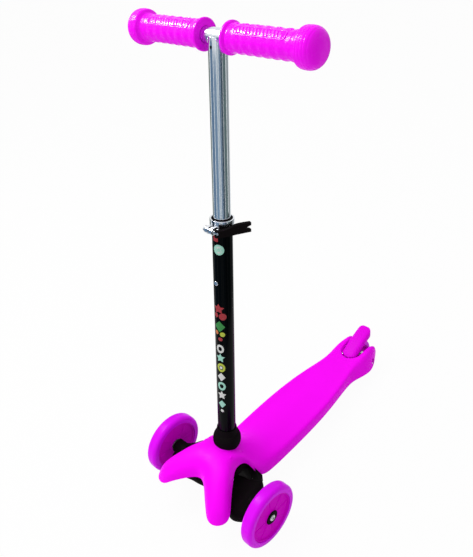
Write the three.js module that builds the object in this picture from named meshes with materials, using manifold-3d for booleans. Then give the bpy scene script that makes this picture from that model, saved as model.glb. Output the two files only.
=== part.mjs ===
// A child's kick scooter with two wheels in front and one behind, steered by leaning.
// Millimetres, +Z up. The scooter faces -Y, and +X is the rider's left.
// The drawing origin of the parts is the ground under the middle of the front axle.

import * as THREE from 'three';
import { mergeVertices } from 'three/addons/utils/BufferGeometryUtils.js';
import Module from 'manifold-3d';

const wasm = await Module();
wasm.setup();

// Driving dimensions

const wheelBase = 464;
const wheelTrack = 251;
const frontWheelRadius = 60;
const frontWheelWidth = 24;
const rearWheelRadius = 37;
const rearWheelWidth = 25;

const deckTop = 60;
const deckHalfWidth = 58;
const skirtDepth = 22;
const shellWall = 3.5;
const rearArmInner = 21;

const noseReach = 80;

const stemFootY = 36;
const stemFootZ = 133;
const stemRakeDegrees = 6.3;
const barHeight = 710;
const barHalfLength = 140;
const lowerTubeRadius = 16.2;
const lowerTubeTop = 446;
const upperTubeRadius = 13.8;

const kingpinSlopeDegrees = 50;
const kingpinAxisY = 12;
const kingpinAxisZ = 60;
const kingpinRadius = 5;

// Fits shared by several pieces

const fitGap = 0.3;
const runningGap = 0.5;
const overrun = 2;
const weldTolerance = 1e-4;

// Mesh helpers

function signedVolume(positions, triangles) {
  const [a, b, c] = [new THREE.Vector3(), new THREE.Vector3(), new THREE.Vector3()];
  let volume = 0;
  for (let i = 0; i < triangles.length; i += 3) {
    a.fromArray(positions, 3 * triangles[i]);
    b.fromArray(positions, 3 * triangles[i + 1]);
    c.fromArray(positions, 3 * triangles[i + 2]);
    volume += a.dot(b.cross(c)) / 6;
  }
  return volume;
}

function solid(geometry) {
  const bare = geometry.clone();
  bare.deleteAttribute('normal');
  bare.deleteAttribute('uv');
  const welded = mergeVertices(bare, weldTolerance);
  const vertProperties = new Float32Array(welded.attributes.position.array);
  const triVerts = new Uint32Array(welded.index.array);
  if (signedVolume(vertProperties, triVerts) < 0) {
    for (let i = 0; i < triVerts.length; i += 3) {
      [triVerts[i + 1], triVerts[i + 2]] = [triVerts[i + 2], triVerts[i + 1]];
    }
  }
  return new wasm.Manifold(new wasm.Mesh({ numProp: 3, vertProperties, triVerts }));
}

function join(first, ...others) {
  return others.reduce((sum, other) => sum.add(other), first);
}

function cut(first, ...others) {
  return others.reduce((rest, other) => rest.subtract(other), first);
}

function geometryOf(body) {
  const { numProp, vertProperties, triVerts } = body.getMesh();
  const geometry = new THREE.BufferGeometry();
  const positions = new Float32Array((vertProperties.length / numProp) * 3);
  for (let i = 0; i < positions.length / 3; i += 1) {
    positions.set(vertProperties.subarray(i * numProp, i * numProp + 3), 3 * i);
  }
  geometry.setAttribute('position', new THREE.BufferAttribute(positions, 3));
  geometry.setIndex(new THREE.BufferAttribute(new Uint32Array(triVerts), 1));
  geometry.computeVertexNormals();
  return geometry;
}

// Shapes. Revolved and prism shapes stand along Z, from their own z = 0 where not said otherwise.

function revolve(profile, segments) {
  const points = profile.map(([radius, height]) => new THREE.Vector2(radius, height));
  return new THREE.LatheGeometry(points, segments).rotateX(Math.PI / 2);
}

function ringProfile(inner, outer, low, high) {
  return [[inner, low], [outer, low], [outer, high], [inner, high], [inner, low]];
}

function pipe(inner, outer, low, high, segments) {
  return revolve(ringProfile(inner, outer, low, high), segments);
}

function rod(radius, low, high, segments) {
  return revolve([[0, low], [radius, low], [radius, high], [0, high]], segments);
}

function block(low, high) {
  const size = high.map((value, i) => value - low[i]);
  return new THREE.BoxGeometry(...size).translate(...low.map((value, i) => value + size[i] / 2));
}

function prism(points, depth) {
  const outline = () => new THREE.Shape(points.map(([x, y]) => new THREE.Vector2(x, y)));
  const shape = points instanceof THREE.Shape ? points : outline();
  return new THREE.ExtrudeGeometry(shape, { depth, bevelEnabled: false, curveSegments: 8 });
}

// A prism drawn in the (y, z) plane and centred on x = 0
function sidePrism(points, width) {
  return prism(points, width).translate(0, 0, -width / 2).rotateY(Math.PI / 2).rotateX(Math.PI / 2);
}

const hexSides = 6;
function hexagon(acrossFlats, low, high) {
  return rod(acrossFlats / 2 / Math.cos(Math.PI / hexSides), low, high, hexSides);
}

function alongX(geometry) {
  return geometry.rotateY(Math.PI / 2);
}

// +Z becomes outward on one side of the scooter
function outward(geometry, side) {
  return geometry.rotateY((side * Math.PI) / 2);
}

// A closed skin through rings of equally many points, with both ends capped
function loft(rings) {
  const count = rings[0].length;
  const centre = (ring) => ring.reduce((sum, p) => sum.add(p), new THREE.Vector3()).divideScalar(count);
  const points = [...rings.flat(), centre(rings[0]), centre(rings[rings.length - 1])];
  const firstPole = rings.length * count;
  const index = [];
  for (let k = 0; k < count; k += 1) {
    const next = (k + 1) % count;
    for (let r = 0; r + 1 < rings.length; r += 1) {
      const [a, b, c, d] = [r * count + k, r * count + next, (r + 1) * count + next, (r + 1) * count + k];
      index.push(a, b, c, a, c, d);
    }
    const last = (rings.length - 1) * count;
    index.push(firstPole, next, k, firstPole + 1, last + k, last + next);
  }
  return new THREE.BufferGeometry().setFromPoints(points).setIndex(index);
}

// A rounded-box section in the (y, z) plane at one x
function sectionRing(x, centreY, centreZ, halfY, halfZ, roundness, count) {
  const bend = (value) => Math.sign(value) * Math.abs(value) ** (2 / roundness);
  return Array.from({ length: count }, (_, k) => {
    const angle = (2 * Math.PI * (k + 1 / 2)) / count;
    const y = centreY + halfY * bend(Math.cos(angle));
    return new THREE.Vector3(x, y, centreZ + halfZ * bend(Math.sin(angle)));
  });
}

// One unbroken wire swept along a list of points
function wire(path, radius, sides) {
  const curve = new THREE.CatmullRomCurve3(path, false, 'centripetal');
  const frames = curve.computeFrenetFrames(path.length - 1, false);
  const rings = path.map((point, i) => Array.from({ length: sides }, (_, k) => {
    const angle = (2 * Math.PI * k) / sides;
    return point.clone()
      .addScaledVector(frames.normals[i], radius * Math.cos(angle))
      .addScaledVector(frames.binormals[i], radius * Math.sin(angle));
  }));
  return loft(rings);
}

// Smooth skins: a cage of quads is rounded by repeated averaging

function subdivide({ points, quads }) {
  const mean = (list) => list.reduce((sum, p) => sum.add(p), new THREE.Vector3()).divideScalar(list.length);
  const centres = quads.map((quad) => mean(quad.map((i) => points[i])));
  const edges = new Map();
  const edgeKey = (a, b) => (a < b ? `${a} ${b}` : `${b} ${a}`);
  quads.forEach((quad, face) => quad.forEach((a, k) => {
    const b = quad[(k + 1) % 4];
    const key = edgeKey(a, b);
    if (!edges.has(key)) edges.set(key, { ends: [a, b], faces: [], index: points.length + edges.size });
    edges.get(key).faces.push(face);
  }));
  const edgeList = [...edges.values()];
  const edgePoints = edgeList.map(({ ends, faces }) => {
    const around = ends.map((i) => points[i]);
    return mean(faces.length === 2 ? [...around, ...faces.map((face) => centres[face])] : around);
  });
  const touching = points.map(() => ({ faces: [], edges: [] }));
  quads.forEach((quad, face) => quad.forEach((i) => touching[i].faces.push(face)));
  edgeList.forEach((edge) => edge.ends.forEach((i) => touching[i].edges.push(edge)));
  const moved = points.map((point, i) => {
    const rim = touching[i].edges.filter((edge) => edge.faces.length === 1);
    const middle = ({ ends }) => mean(ends.map((end) => points[end]));
    if (rim.length) return point.clone().add(mean(rim.map(middle))).divideScalar(2);
    const valence = touching[i].faces.length;
    return mean(touching[i].faces.map((face) => centres[face]))
      .addScaledVector(mean(touching[i].edges.map(middle)), 2)
      .addScaledVector(point, valence - 3)
      .divideScalar(valence);
  });
  const firstCentre = points.length + edgeList.length;
  const finer = quads.flatMap((quad, face) => quad.map((corner, k) => [
    corner,
    edges.get(edgeKey(corner, quad[(k + 1) % 4])).index,
    firstCentre + face,
    edges.get(edgeKey(corner, quad[(k + 3) % 4])).index,
  ]));
  return { points: [...moved, ...edgePoints, ...centres], quads: finer };
}

// The half cage at x >= 0 and its mirror image as one cage
function mirrored({ points, quads }) {
  const twin = points.map((point, i) => (Math.abs(point.x) < weldTolerance ? i : null));
  const all = [...points];
  points.forEach((point, i) => {
    if (twin[i] === null) {
      twin[i] = all.length;
      all.push(new THREE.Vector3(-point.x, point.y, point.z));
    }
  });
  return { points: all, quads: [...quads, ...quads.map((quad) => quad.map((i) => twin[i]).reverse())] };
}

function vertexNormals({ points, quads }) {
  const normals = points.map(() => new THREE.Vector3());
  quads.forEach((quad) => {
    const [a, b, c, d] = quad.map((i) => points[i]);
    const normal = c.clone().sub(a).cross(d.clone().sub(b));
    quad.forEach((i) => normals[i].add(normal));
  });
  return normals.map((normal) => normal.normalize());
}

// A wall under a smooth skin. The hidden inner face has half as many quads each way.
function thicken(cage, wall) {
  const half = subdivide(mirrored(cage));
  const outer = subdivide(half);
  const normals = vertexNormals(outer);
  const inner = half.points.map((_, i) => outer.points[i].clone().addScaledVector(normals[i], -wall));
  const offset = outer.points.length;
  const index = [];
  const face = (a, b, c, d) => index.push(a, b, c, a, c, d);
  outer.quads.forEach((quad) => face(...quad));
  half.quads.forEach(([a, b, c, d]) => face(offset + a, offset + d, offset + c, offset + b));
  const sides = new Map();
  half.quads.forEach((quad) => quad.forEach((a, k) => sides.set(`${a} ${quad[(k + 1) % 4]}`, true)));
  outer.quads.forEach(([corner, mid, , before]) => {
    const next = outer.quads.find((quad) => quad[3] === mid && quad[0] !== corner
      && sides.has(`${corner} ${quad[0]}`));
    if (before === undefined || !next) return;
    const [a, b] = [corner, next[0]];
    if (sides.has(`${b} ${a}`)) return;
    index.push(mid, a, offset + a, mid, offset + a, offset + b, b, mid, offset + b);
  });
  return new THREE.BufferGeometry().setFromPoints([...outer.points, ...inner]).setIndex(index);
}

// Materials

function plastic(color, roughness = 0.35) {
  return new THREE.MeshStandardMaterial({ color, roughness, metalness: 0 });
}

function metal(color, roughness = 0.3) {
  return new THREE.MeshStandardMaterial({ color, roughness, metalness: 1 });
}

const magenta = 0xf012e6;
const violet = 0xd020e8;
const black = 0x141414;
const steel = 0xb9bcc0;
const chrome = 0xdfe3e8;
const zinc = 0xc4c7ca;

const scooter = new THREE.Group();

// Adds one named body. The last value, if given, moves it from its own frame to the scooter's.
function piece(name, body, material, place = (geometry) => geometry) {
  const mesh = new THREE.Mesh(place(geometryOf(body.getMesh ? body : solid(body))), material);
  mesh.name = name;
  scooter.add(mesh);
}

// Deck shell. Each row of the cage lists places across the shell, from the middle to the side:
// inner skirt (only along the fork of the nose and the wheel slot), inner top, crown, edge, side skirt.
// x is a share of deckHalfWidth, y of noseReach or wheelBase, z of deckTop. At the wheel slot x is a share
// of rearArmInner, and y is a share of rearWheelRadius behind the rear axle.

const noseRowShares = [
  [[0.98, -1.02, 1.17], [1.18, -1.04, 1.15], [1.35, -0.99, 1.15], [1.47, -0.88, 1.15], [1.52, -0.74, 1.17]],
  [[0.82, -0.93, 1.29], [0.97, -0.98, 1.52], [1.24, -0.88, 1.60], [1.44, -0.71, 1.52], [1.44, -0.60, 1.29]],
  [[0.52, -0.74, 1.42], [0.57, -0.70, 1.77], [0.85, -0.54, 1.87], [1.11, -0.38, 1.75], [1.16, -0.36, 1.42]],
  [[0.2, -0.53, 1.50], [0.24, -0.50, 1.93], [0.57, -0.26, 2.05], [0.86, -0.10, 1.92], [0.9, -0.08, 1.59]],
  [[0, -0.47, 1.51], [0, -0.43, 2.01], [0.32, -0.09, 2.19], [0.66, 0.11, 1.99], [0.7, 0.13, 1.7]],
];
const humpRowShares = [
  [[0, 0.00, 2.21], [0.36, 0.18, 2.17], [0.66, 0.33, 1.92], [0.70, 0.38, 1.67]],
  [[0, 0.45, 2.19], [0.46, 0.50, 1.97], [0.78, 0.55, 1.69], [0.80, 0.53, 1.5]],
  [[0, 0.90, 1.82], [0.50, 0.82, 1.42], [0.94, 0.75, 1.09], [0.97, 0.70, 0.68]],
  [[0, 1.32, 1.18], [0.66, 1.26, 1.01], [0.95, 1.20, 1.05], [1.00, 1.20, 0.633]],
];
const deckRowShares = [
  [[0, 0.343, 0.99], [0.8, 0.343, 1], [0.99, 0.343, 1.05], [1.01, 0.343, 0.633]],
  [[0, 0.536, 0.99], [0.8, 0.536, 1], [0.99, 0.536, 1.05], [0.99, 0.536, 0.633]],
  [[0, 0.686, 0.99], [0.7, 0.686, 1], [0.87, 0.686, 1.05], [0.86, 0.686, 0.633]],
  [[0, 0.793, 0.99], [0.52, 0.803, 1], [0.69, 0.809, 1.05], [0.72, 0.809, 0.62]],
  [[0, 0.857, 0.99], [0.46, 0.862, 1.03], [0.62, 0.868, 1.08], [0.84, 0.868, 0.58]],
];
const forkRowShares = [
  [[0, -1.31, 0.66], [0, -1.31, 1.01], [1.22, -1.19, 1.06], [1.8, -1.06, 1.1], [2.49, -0.99, 0.52]],
  [[0.91, -1.12, 0.6], [0.91, -1.12, 1.05], [1.44, -0.79, 1.1], [1.88, -0.45, 1.12], [2.43, -0.45, 0.48]],
  [[1, -0.45, 0.48], [1, -0.45, 1.08], [1.38, -0.18, 1.14], [1.77, 0.15, 1.12], [2.1, 0.09, 0.46]],
  [[1, 0.35, 0.46], [1.02, 0.42, 1.1], [1.33, 0.56, 1.14], [1.6, 0.65, 1.1], [1.69, 0.56, 0.46]],
  [[1.05, 0.68, 0.48], [1.13, 0.84, 0.64], [1.27, 0.95, 0.66], [1.44, 0.87, 0.64], [1.49, 0.76, 0.48]],
];

function deckCage() {
  const points = [];
  const quads = [];
  const place = (rows, unitX, startY, unitY) => rows.map((row) => {
    const placed = row.map(([x, y, z]) => {
      points.push(new THREE.Vector3(x * unitX, startY + y * unitY, z * deckTop));
      return points.length - 1;
    });
    return placed.length === 5 ? placed : [null, ...placed];
  });
  const rows = [
    ...place(noseRowShares, deckHalfWidth, 0, noseReach),
    ...place(humpRowShares, deckHalfWidth, 0, noseReach),
    ...place(deckRowShares, deckHalfWidth, 0, wheelBase),
    ...place(forkRowShares, rearArmInner, wheelBase, rearWheelRadius),
  ];
  for (let r = 0; r + 1 < rows.length; r += 1) {
    for (let k = 0; k < 4; k += 1) {
      const quad = [rows[r][k], rows[r][k + 1], rows[r + 1][k + 1], rows[r + 1][k]];
      if (!quad.includes(null)) quads.push(quad);
    }
  }
  return { points, quads };
}

const stemRake = THREE.MathUtils.degToRad(stemRakeDegrees);
const kingpinTilt = THREE.MathUtils.degToRad(90 - kingpinSlopeDegrees);
const sides = [['left', 1], ['right', -1]];

// From a shape's own frame, +Z along the stem or the kingpin, to the scooter's frame
function onStem(geometry) {
  return geometry.rotateX(-stemRake).translate(0, stemFootY, stemFootZ);
}

function onKingpin(geometry) {
  return geometry.rotateX(kingpinTilt).translate(0, kingpinAxisY, kingpinAxisZ);
}

// Solid core of the deck shell, from the middle of its wall down to the ground, to trim ribs and bosses
function coreUnder(cage, wall) {
  const half = subdivide(mirrored(cage));
  const outer = subdivide(half);
  const normals = vertexNormals(outer);
  const top = half.points.map((_, i) => outer.points[i].clone().addScaledVector(normals[i], -wall / 2));
  const floor = top.map(({ x, y }) => new THREE.Vector3(x, y, -overrun));
  const offset = top.length;
  const index = [];
  const used = new Set();
  half.quads.forEach((quad) => quad.forEach((a, k) => used.add(`${a} ${quad[(k + 1) % 4]}`)));
  half.quads.forEach(([a, b, c, d]) => {
    index.push(a, b, c, a, c, d);
    index.push(offset + a, offset + c, offset + b, offset + a, offset + d, offset + c);
  });
  used.forEach((edge) => {
    const [a, b] = edge.split(' ').map(Number);
    if (!used.has(`${b} ${a}`)) index.push(b, a, offset + a, b, offset + a, offset + b);
  });
  return new THREE.BufferGeometry().setFromPoints([...top, ...floor]).setIndex(index);
}

// Stem: collar, fixed lower tube, guide bush, clamp, button and sliding T-bar

const tubeSegments = 20;
const lowerTubeBore = 14.6;
const lowerTubeFoot = -48;
const bushSeatRadius = 15.2;
const bushSeatLow = 425;
const collarRadius = 26;
const collarLow = -19;
const collarNeckLow = 15;
const collarTop = 28;
const buttonRadius = 3.9;
const clampS = 433;
const clampHalfHeight = 9;
const clampOuter = 20;
const clampBoltY = -25;
const clampBoltRadius = 3;
const leverPinX = 16;
const leverPinRadius = 1.5;
const upperTubeBore = 12.4;
const upperTubeFoot = 296;
const buttonAboveFoot = 41;
const buttonS = upperTubeFoot + buttonAboveFoot;
const crossbarRadius = 11.2;
const crossbarBore = 9.6;
const crossbarHalf = 138;

function facingFront(geometry, s) {
  return geometry.rotateX(Math.PI / 2).translate(0, 0, s);
}

function stemCollar() {
  const arcSteps = 5;
  const start = Math.asin(collarLow / collarRadius);
  const end = Math.asin(collarNeckLow / collarRadius);
  const ball = Array.from({ length: arcSteps + 1 }, (_, i) => {
    const angle = start + ((end - start) * i) / arcSteps;
    return [collarRadius * Math.cos(angle), collarRadius * Math.sin(angle)];
  });
  const bore = lowerTubeRadius + fitGap;
  const lip = 1.5;
  const neck = [[bore + 2 * lip, (collarNeckLow + collarTop) / 2], [bore + lip, collarTop]];
  return revolve([[bore, collarLow], ...ball, ...neck, [bore, collarTop], [bore, collarLow]], tubeSegments);
}

function lowerTube() {
  const wall = revolve([
    [lowerTubeBore, lowerTubeFoot], [lowerTubeRadius, lowerTubeFoot], [lowerTubeRadius, lowerTubeTop],
    [bushSeatRadius, lowerTubeTop], [bushSeatRadius, bushSeatLow], [lowerTubeBore, bushSeatLow],
    [lowerTubeBore, lowerTubeFoot],
  ], tubeSegments);
  const hole = rod(buttonRadius + fitGap, upperTubeBore, lowerTubeRadius + overrun, 16);
  return cut(solid(wall), solid(facingFront(hole, buttonS)));
}

function tubeBush() {
  const bore = upperTubeRadius + fitGap;
  const outer = bushSeatRadius - fitGap;
  const flangeRadius = 16.4;
  const flangeLow = lowerTubeTop + fitGap;
  const flangeTop = flangeLow + 3.5;
  return revolve([
    [bore, bushSeatLow + fitGap], [outer, bushSeatLow + fitGap], [outer, flangeLow],
    [flangeRadius, flangeLow], [flangeRadius, flangeTop], [bore, flangeTop], [bore, bushSeatLow + fitGap],
  ], tubeSegments);
}

const clampBandBore = lowerTubeRadius + fitGap;
const earHalfWidth = 9;
const earRadius = 7;
const earY = -27;

function clampBand() {
  const slotHalf = 1.5;
  const bandLow = clampS - clampHalfHeight;
  const bandHigh = clampS + clampHalfHeight;
  const band = solid(pipe(clampBandBore, clampOuter, bandLow, bandHigh, tubeSegments));
  const ear = join(
    solid(block(
      [-earHalfWidth, earY, clampS - earRadius],
      [earHalfWidth, -clampBandBore, clampS + earRadius],
    )),
    solid(alongX(rod(earRadius, -earHalfWidth, earHalfWidth, 20)).translate(0, earY, clampS)),
  );
  const low = bandLow - overrun;
  const high = bandHigh + overrun;
  return cut(
    join(band, ear),
    solid(rod(clampBandBore, low, high, tubeSegments)),
    solid(block([-slotHalf, earY - earRadius - overrun, low], [slotHalf, -lowerTubeBore, high])),
    solid(alongX(rod(clampBoltRadius + fitGap, -earHalfWidth - overrun, earHalfWidth + overrun, 16))
      .translate(0, clampBoltY, clampS)),
  );
}

const clampNutHeight = 4.7;

function clampNut() {
  const low = -earHalfWidth - fitGap - clampNutHeight;
  const high = -earHalfWidth - fitGap;
  const hex = hexagon(11, low, high);
  const bore = rod(clampBoltRadius + fitGap, low - overrun, high + overrun, 16);
  return cut(
    solid(alongX(hex).translate(0, clampBoltY, clampS)),
    solid(alongX(bore).translate(0, clampBoltY, clampS)),
  );
}

function clampBolt() {
  const eyeHalfHeight = 2.9;
  const shank = rod(clampBoltRadius, -earHalfWidth - clampNutHeight - overrun, leverPinX, 16);
  const eye = rod(clampBoltRadius, clampS - eyeHalfHeight, clampS + eyeHalfHeight, 16);
  const hole = rod(leverPinRadius + fitGap, clampS - earRadius, clampS + earRadius, 12);
  return cut(
    join(
      solid(alongX(shank).translate(0, clampBoltY, clampS)),
      solid(eye.translate(leverPinX, clampBoltY, 0)),
    ),
    solid(hole.translate(leverPinX, clampBoltY, 0)),
  );
}

// The lever's outline from above, from its cam round the band to the tip and back
const leverOutline = [
  [17.5, -19.5], [21.8, -14], [23.4, -4], [24.4, 6], [27.4, 16], [31.8, 27.8],
  [37.2, 25.6], [33.4, 14.5], [30.6, 4], [29.6, -6], [28.0, -16], [24.6, -23], [21.6, -28],
];
const leverTip = [34.5, 26.7];
const leverTipBearing = THREE.MathUtils.degToRad(-21);
const leverHalfHeight = 8;
const camRadius = 6.4;
const leverSwingPastSquare = THREE.MathUtils.degToRad(10);

function clampLever() {
  const low = clampS - leverHalfHeight;
  const notchDepth = 10;
  const notchHalfWidth = 4;
  const eyeRoom = clampBoltRadius + fitGap;
  const swungRoom = eyeRoom + camRadius * Math.sin(leverSwingPastSquare);
  const notchOutline = [[-notchDepth, 0], [overrun, -notchHalfWidth], [overrun, notchHalfWidth]];
  const notch = sidePrism(notchOutline, 4 * overrun)
    .rotateZ(leverTipBearing).translate(leverTip[0], leverTip[1], clampS);
  return cut(
    join(
      solid(prism(leverOutline, 2 * leverHalfHeight).translate(0, 0, low)),
      solid(rod(camRadius, low, clampS + leverHalfHeight, 24).translate(leverPinX, clampBoltY, 0)),
    ),
    solid(notch),
    solid(block(
      [leverPinX - camRadius - overrun, clampBoltY - camRadius - overrun, clampS - eyeRoom],
      [leverPinX + swungRoom, clampBoltY + eyeRoom + fitGap, clampS + eyeRoom],
    )),
    solid(rod(leverPinRadius + fitGap, low - overrun, clampS + leverHalfHeight + overrun, 12)
      .translate(leverPinX, clampBoltY, 0)),
  );
}

function leverPin() {
  return rod(leverPinRadius, clampS - earRadius, clampS + earRadius, 12).translate(leverPinX, clampBoltY, 0);
}

function heightButton() {
  const inner = upperTubeRadius + 2 * fitGap;
  const proud = lowerTubeRadius + 1.4;
  const chamfer = 0.6;
  const profile = [
    [0, inner], [buttonRadius, inner], [buttonRadius, proud - chamfer],
    [buttonRadius - chamfer, proud], [0, proud],
  ];
  return facingFront(revolve(profile, 16), buttonS);
}

function tBar() {
  const airHoleRadius = 2.2;
  const airHoleS = 697;
  const solidBar = join(
    solid(rod(upperTubeRadius, upperTubeFoot, barHeight, tubeSegments)),
    solid(alongX(rod(crossbarRadius, -crossbarHalf, crossbarHalf, tubeSegments)).translate(0, 0, barHeight)),
  );
  const holeLow = crossbarBore / 2;
  const holeHigh = upperTubeRadius + overrun;
  return cut(
    solidBar,
    solid(rod(upperTubeBore, upperTubeFoot - overrun, barHeight - overrun, tubeSegments)),
    solid(alongX(rod(crossbarBore, -crossbarHalf - overrun, crossbarHalf + overrun, tubeSegments))
      .translate(0, 0, barHeight)),
    solid(facingFront(rod(buttonRadius + fitGap + 0.1, holeLow, holeHigh, 16), buttonS)),
    solid(facingFront(rod(airHoleRadius, holeLow, holeHigh, 12), airHoleS)),
  );
}

// Along the grip: flange at the T-bar, straight hand grip, ball end. Pairs are radius and place along X.
const gripProfile = [
  [22.8, 17.5], [24, 18.8], [24, 21.8], [22.6, 23.2], [18.8, 24.6], [19.2, 70], [18.6, 123],
  [20.4, 130.5], [24.4, 135.5], [26, 142], [26, 154], [24.4, 162], [20.2, 168.2], [13, 171.8],
];
const gripEnd = 172.6;

function grip() {
  const bore = crossbarRadius + fitGap;
  const boreEnd = crossbarHalf + 2 * fitGap;
  const profile = [[0, boreEnd], [bore, boreEnd], [bore, gripProfile[0][1]], ...gripProfile, [0, gripEnd]];
  return revolve(profile, 16);
}

// Steering: truck, kingpin, housing and centring springs

const truckHubRadius = 18;
const truckHubLow = -14;
const truckHubTop = 12;
const kingpinBushRadius = 8;
const kingpinBossRadius = 17;
const kingpinBossTop = 36;
const kingpinHeadHeight = 6.5;
const kingpinWasherRadius = 13;
const kingpinWasherHeight = 2.6;
const kingpinNutHeight = 6.5;
const kingpinHexWidth = 16;
const springX = 27;
const springY = 8;
const springLow = 57.1;
const springHigh = 81.9;
const springCoilRadius = 5.4;
const springWireRadius = 1.1;
const springTurns = 4;
const springPocketRadius = 7.6;
const frontWheelMid = wheelTrack / 2;
const frontAxleRadius = 3.7;
const bearingNear = 2.5;
const bearingFar = 9.5;
const axleHoleDepth = 79;
const axleWasherHeight = 3;
const truckBossEnd = frontWheelMid - bearingFar - axleWasherHeight - 2 * fitGap;

// Sections of the truck from its middle to one end: x, centre y, centre z, half width y, half height z
const truckSections = [
  [0, 3, 49, 25, 12], [24, 0, 49, 28, 13], [40, 0, 51, 31, 15], [52, -1, 52, 34, 15], [62, 0, 52, 39, 15],
  [76, 3, 53, 46, 16], [86, 2, 52.5, 42, 14.5], [96, 0, 52, 32, 13], [102, 0, 53.5, 24, 11.5],
];
// Hollows under the truck: near x, far x, front y, back y
const truckHollows = [[23, 40, -17, 21], [44, 60, -24, 22], [64, 76, -28, 30]];

function springPockets(low, high) {
  return sides.map(([, side]) => solid(
    rod(springPocketRadius, low, high, 12).translate(side * springX, springY, 0),
  ));
}

function frontTruck() {
  const ringSides = 12;
  const roundness = 4;
  const bossRadius = 14;
  const bossStart = 86;
  const hollowTop = 52.5;
  const otherHalf = truckSections.slice(1).reverse().map(([x, ...rest]) => [-x, ...rest]);
  const sections = [...otherHalf, ...truckSections];
  const beam = solid(loft(sections.map((section) => sectionRing(...section, roundness, ringSides))));
  const hub = solid(onKingpin(rod(truckHubRadius, truckHubLow, truckHubTop, 16)));
  const far = 3 * truckHubRadius;
  const ends = sides.map(([, side]) => solid(alongX(rod(bossRadius, bossStart, truckBossEnd, 16))
    .scale(side, 1, 1).translate(0, 0, frontWheelRadius)));
  const axleHoles = sides.map(([, side]) => solid(alongX(
    rod(frontAxleRadius + fitGap, axleHoleDepth, truckBossEnd + overrun, 12),
  ).scale(side, 1, 1).translate(0, 0, frontWheelRadius)));
  const hollows = sides.flatMap(([, side]) => truckHollows.map(([near, away, front, back]) => solid(
    block([near, front, 0], [away, back, hollowTop]).scale(side, 1, 1),
  )));
  return cut(
    join(beam, hub, ...ends),
    solid(onKingpin(rod(kingpinBushRadius + fitGap, truckHubLow - overrun, truckHubTop + overrun, 16))),
    solid(onKingpin(rod(kingpinWasherRadius + overrun, -far, truckHubLow, 16))),
    solid(onKingpin(rod(kingpinBossRadius + overrun, truckHubTop, far, 16))),
    ...axleHoles, ...hollows, ...springPockets(springLow - fitGap, frontWheelRadius + truckHubRadius),
  );
}

const housingRoof = 88;

function steeringHousing() {
  const halfWidth = 37;
  const front = 0;
  const back = 47;
  const floor = 71.5;
  const skirtFront = 42.5;
  const skirtBack = 56;
  const skirtFloor = 44;
  const skirtRoof = 64;
  const bulkheadHalfWidth = 47;
  const bulkheadThick = 3;
  const bulkheadFloor = 36;
  const bulkheadRoof = 70;
  const socketRadius = 18.2;
  const socketLow = -64;
  const socketTop = -31;
  const bossLow = truckHubTop + runningGap;
  return cut(
    join(
      solid(block([-halfWidth, front, floor], [halfWidth, back, housingRoof])),
      solid(block([-halfWidth, skirtFront, skirtFloor], [halfWidth, skirtBack, skirtRoof])),
      solid(block([-halfWidth, skirtFront, skirtRoof - overrun], [halfWidth, back, floor + overrun])),
      solid(block(
        [-bulkheadHalfWidth, skirtFront, bulkheadFloor],
        [bulkheadHalfWidth, skirtFront + bulkheadThick, bulkheadRoof],
      )),
      solid(onStem(rod(socketRadius, socketLow, socketTop, 16))),
      solid(onKingpin(rod(kingpinBossRadius, bossLow, kingpinBossTop, 16))),
    ),
    solid(onStem(rod(lowerTubeRadius + fitGap, lowerTubeFoot - fitGap, socketTop + overrun, tubeSegments))),
    solid(onKingpin(rod(kingpinRadius + fitGap, bossLow - overrun, kingpinBossTop + overrun, 14))),
    solid(onKingpin(rod(truckHubRadius + 2 * runningGap, 2 * truckHubLow, bossLow, 16))),
    ...springPockets(floor - overrun, springHigh + fitGap),
  );
}

const washerTop = truckHubLow - fitGap;
const washerLow = washerTop - kingpinWasherHeight;
const nutTop = washerLow - fitGap;
const nutLow = nutTop - kingpinNutHeight;

function kingpinBolt() {
  const headLow = kingpinBossTop + fitGap;
  const headTop = headLow + kingpinHeadHeight;
  return join(
    solid(rod(kingpinRadius, nutLow - overrun, headLow + overrun, 14)),
    solid(hexagon(kingpinHexWidth, headLow, headTop)),
  );
}

function kingpinNut() {
  const bore = rod(kingpinRadius + fitGap, nutLow - overrun, nutTop + overrun, 14);
  return cut(solid(hexagon(kingpinHexWidth, nutLow, nutTop)), solid(bore));
}

function kingpinWasher() {
  return pipe(kingpinRadius + fitGap, kingpinWasherRadius, washerLow, washerTop, 14);
}

function kingpinBush() {
  return pipe(kingpinRadius + fitGap, kingpinBushRadius, truckHubLow + fitGap, truckHubTop - fitGap, 14);
}

// A coil round +Z from its own z = 0, and the least gap between the wire's neighbouring turns
const stepsPerTurn = 8;
function coilPath(radius, turns, height) {
  return Array.from({ length: turns * stepsPerTurn + 1 }, (_, i) => {
    const angle = (2 * Math.PI * i) / stepsPerTurn;
    const rise = (height * i) / (turns * stepsPerTurn);
    return new THREE.Vector3(radius * Math.cos(angle), radius * Math.sin(angle), rise);
  });
}

function leastGap(path, wireRadius) {
  let least = Infinity;
  path.forEach((a, i) => path.forEach((b, j) => {
    if (j - i >= stepsPerTurn / 2) least = Math.min(least, a.distanceTo(b) - 2 * wireRadius);
  }));
  return least;
}

const wireSides = 5;
function steeringSpring(side) {
  const path = coilPath(springCoilRadius, springTurns, springHigh - springLow - 2 * springWireRadius);
  console.log('steering spring, least gap to itself', leastGap(path, springWireRadius).toFixed(2));
  return wire(path, springWireRadius, wireSides)
    .translate(side * springX, springY, springLow + springWireRadius);
}

// Wheels. A wheel's own axis is +Z, with its middle at z = 0.

const bearingBore = 4;
const bearingRadius = 11;
const hubRadius = 15;
const hubHalfWidth = 9.5;
const sleeveRadius = 6;

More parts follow.
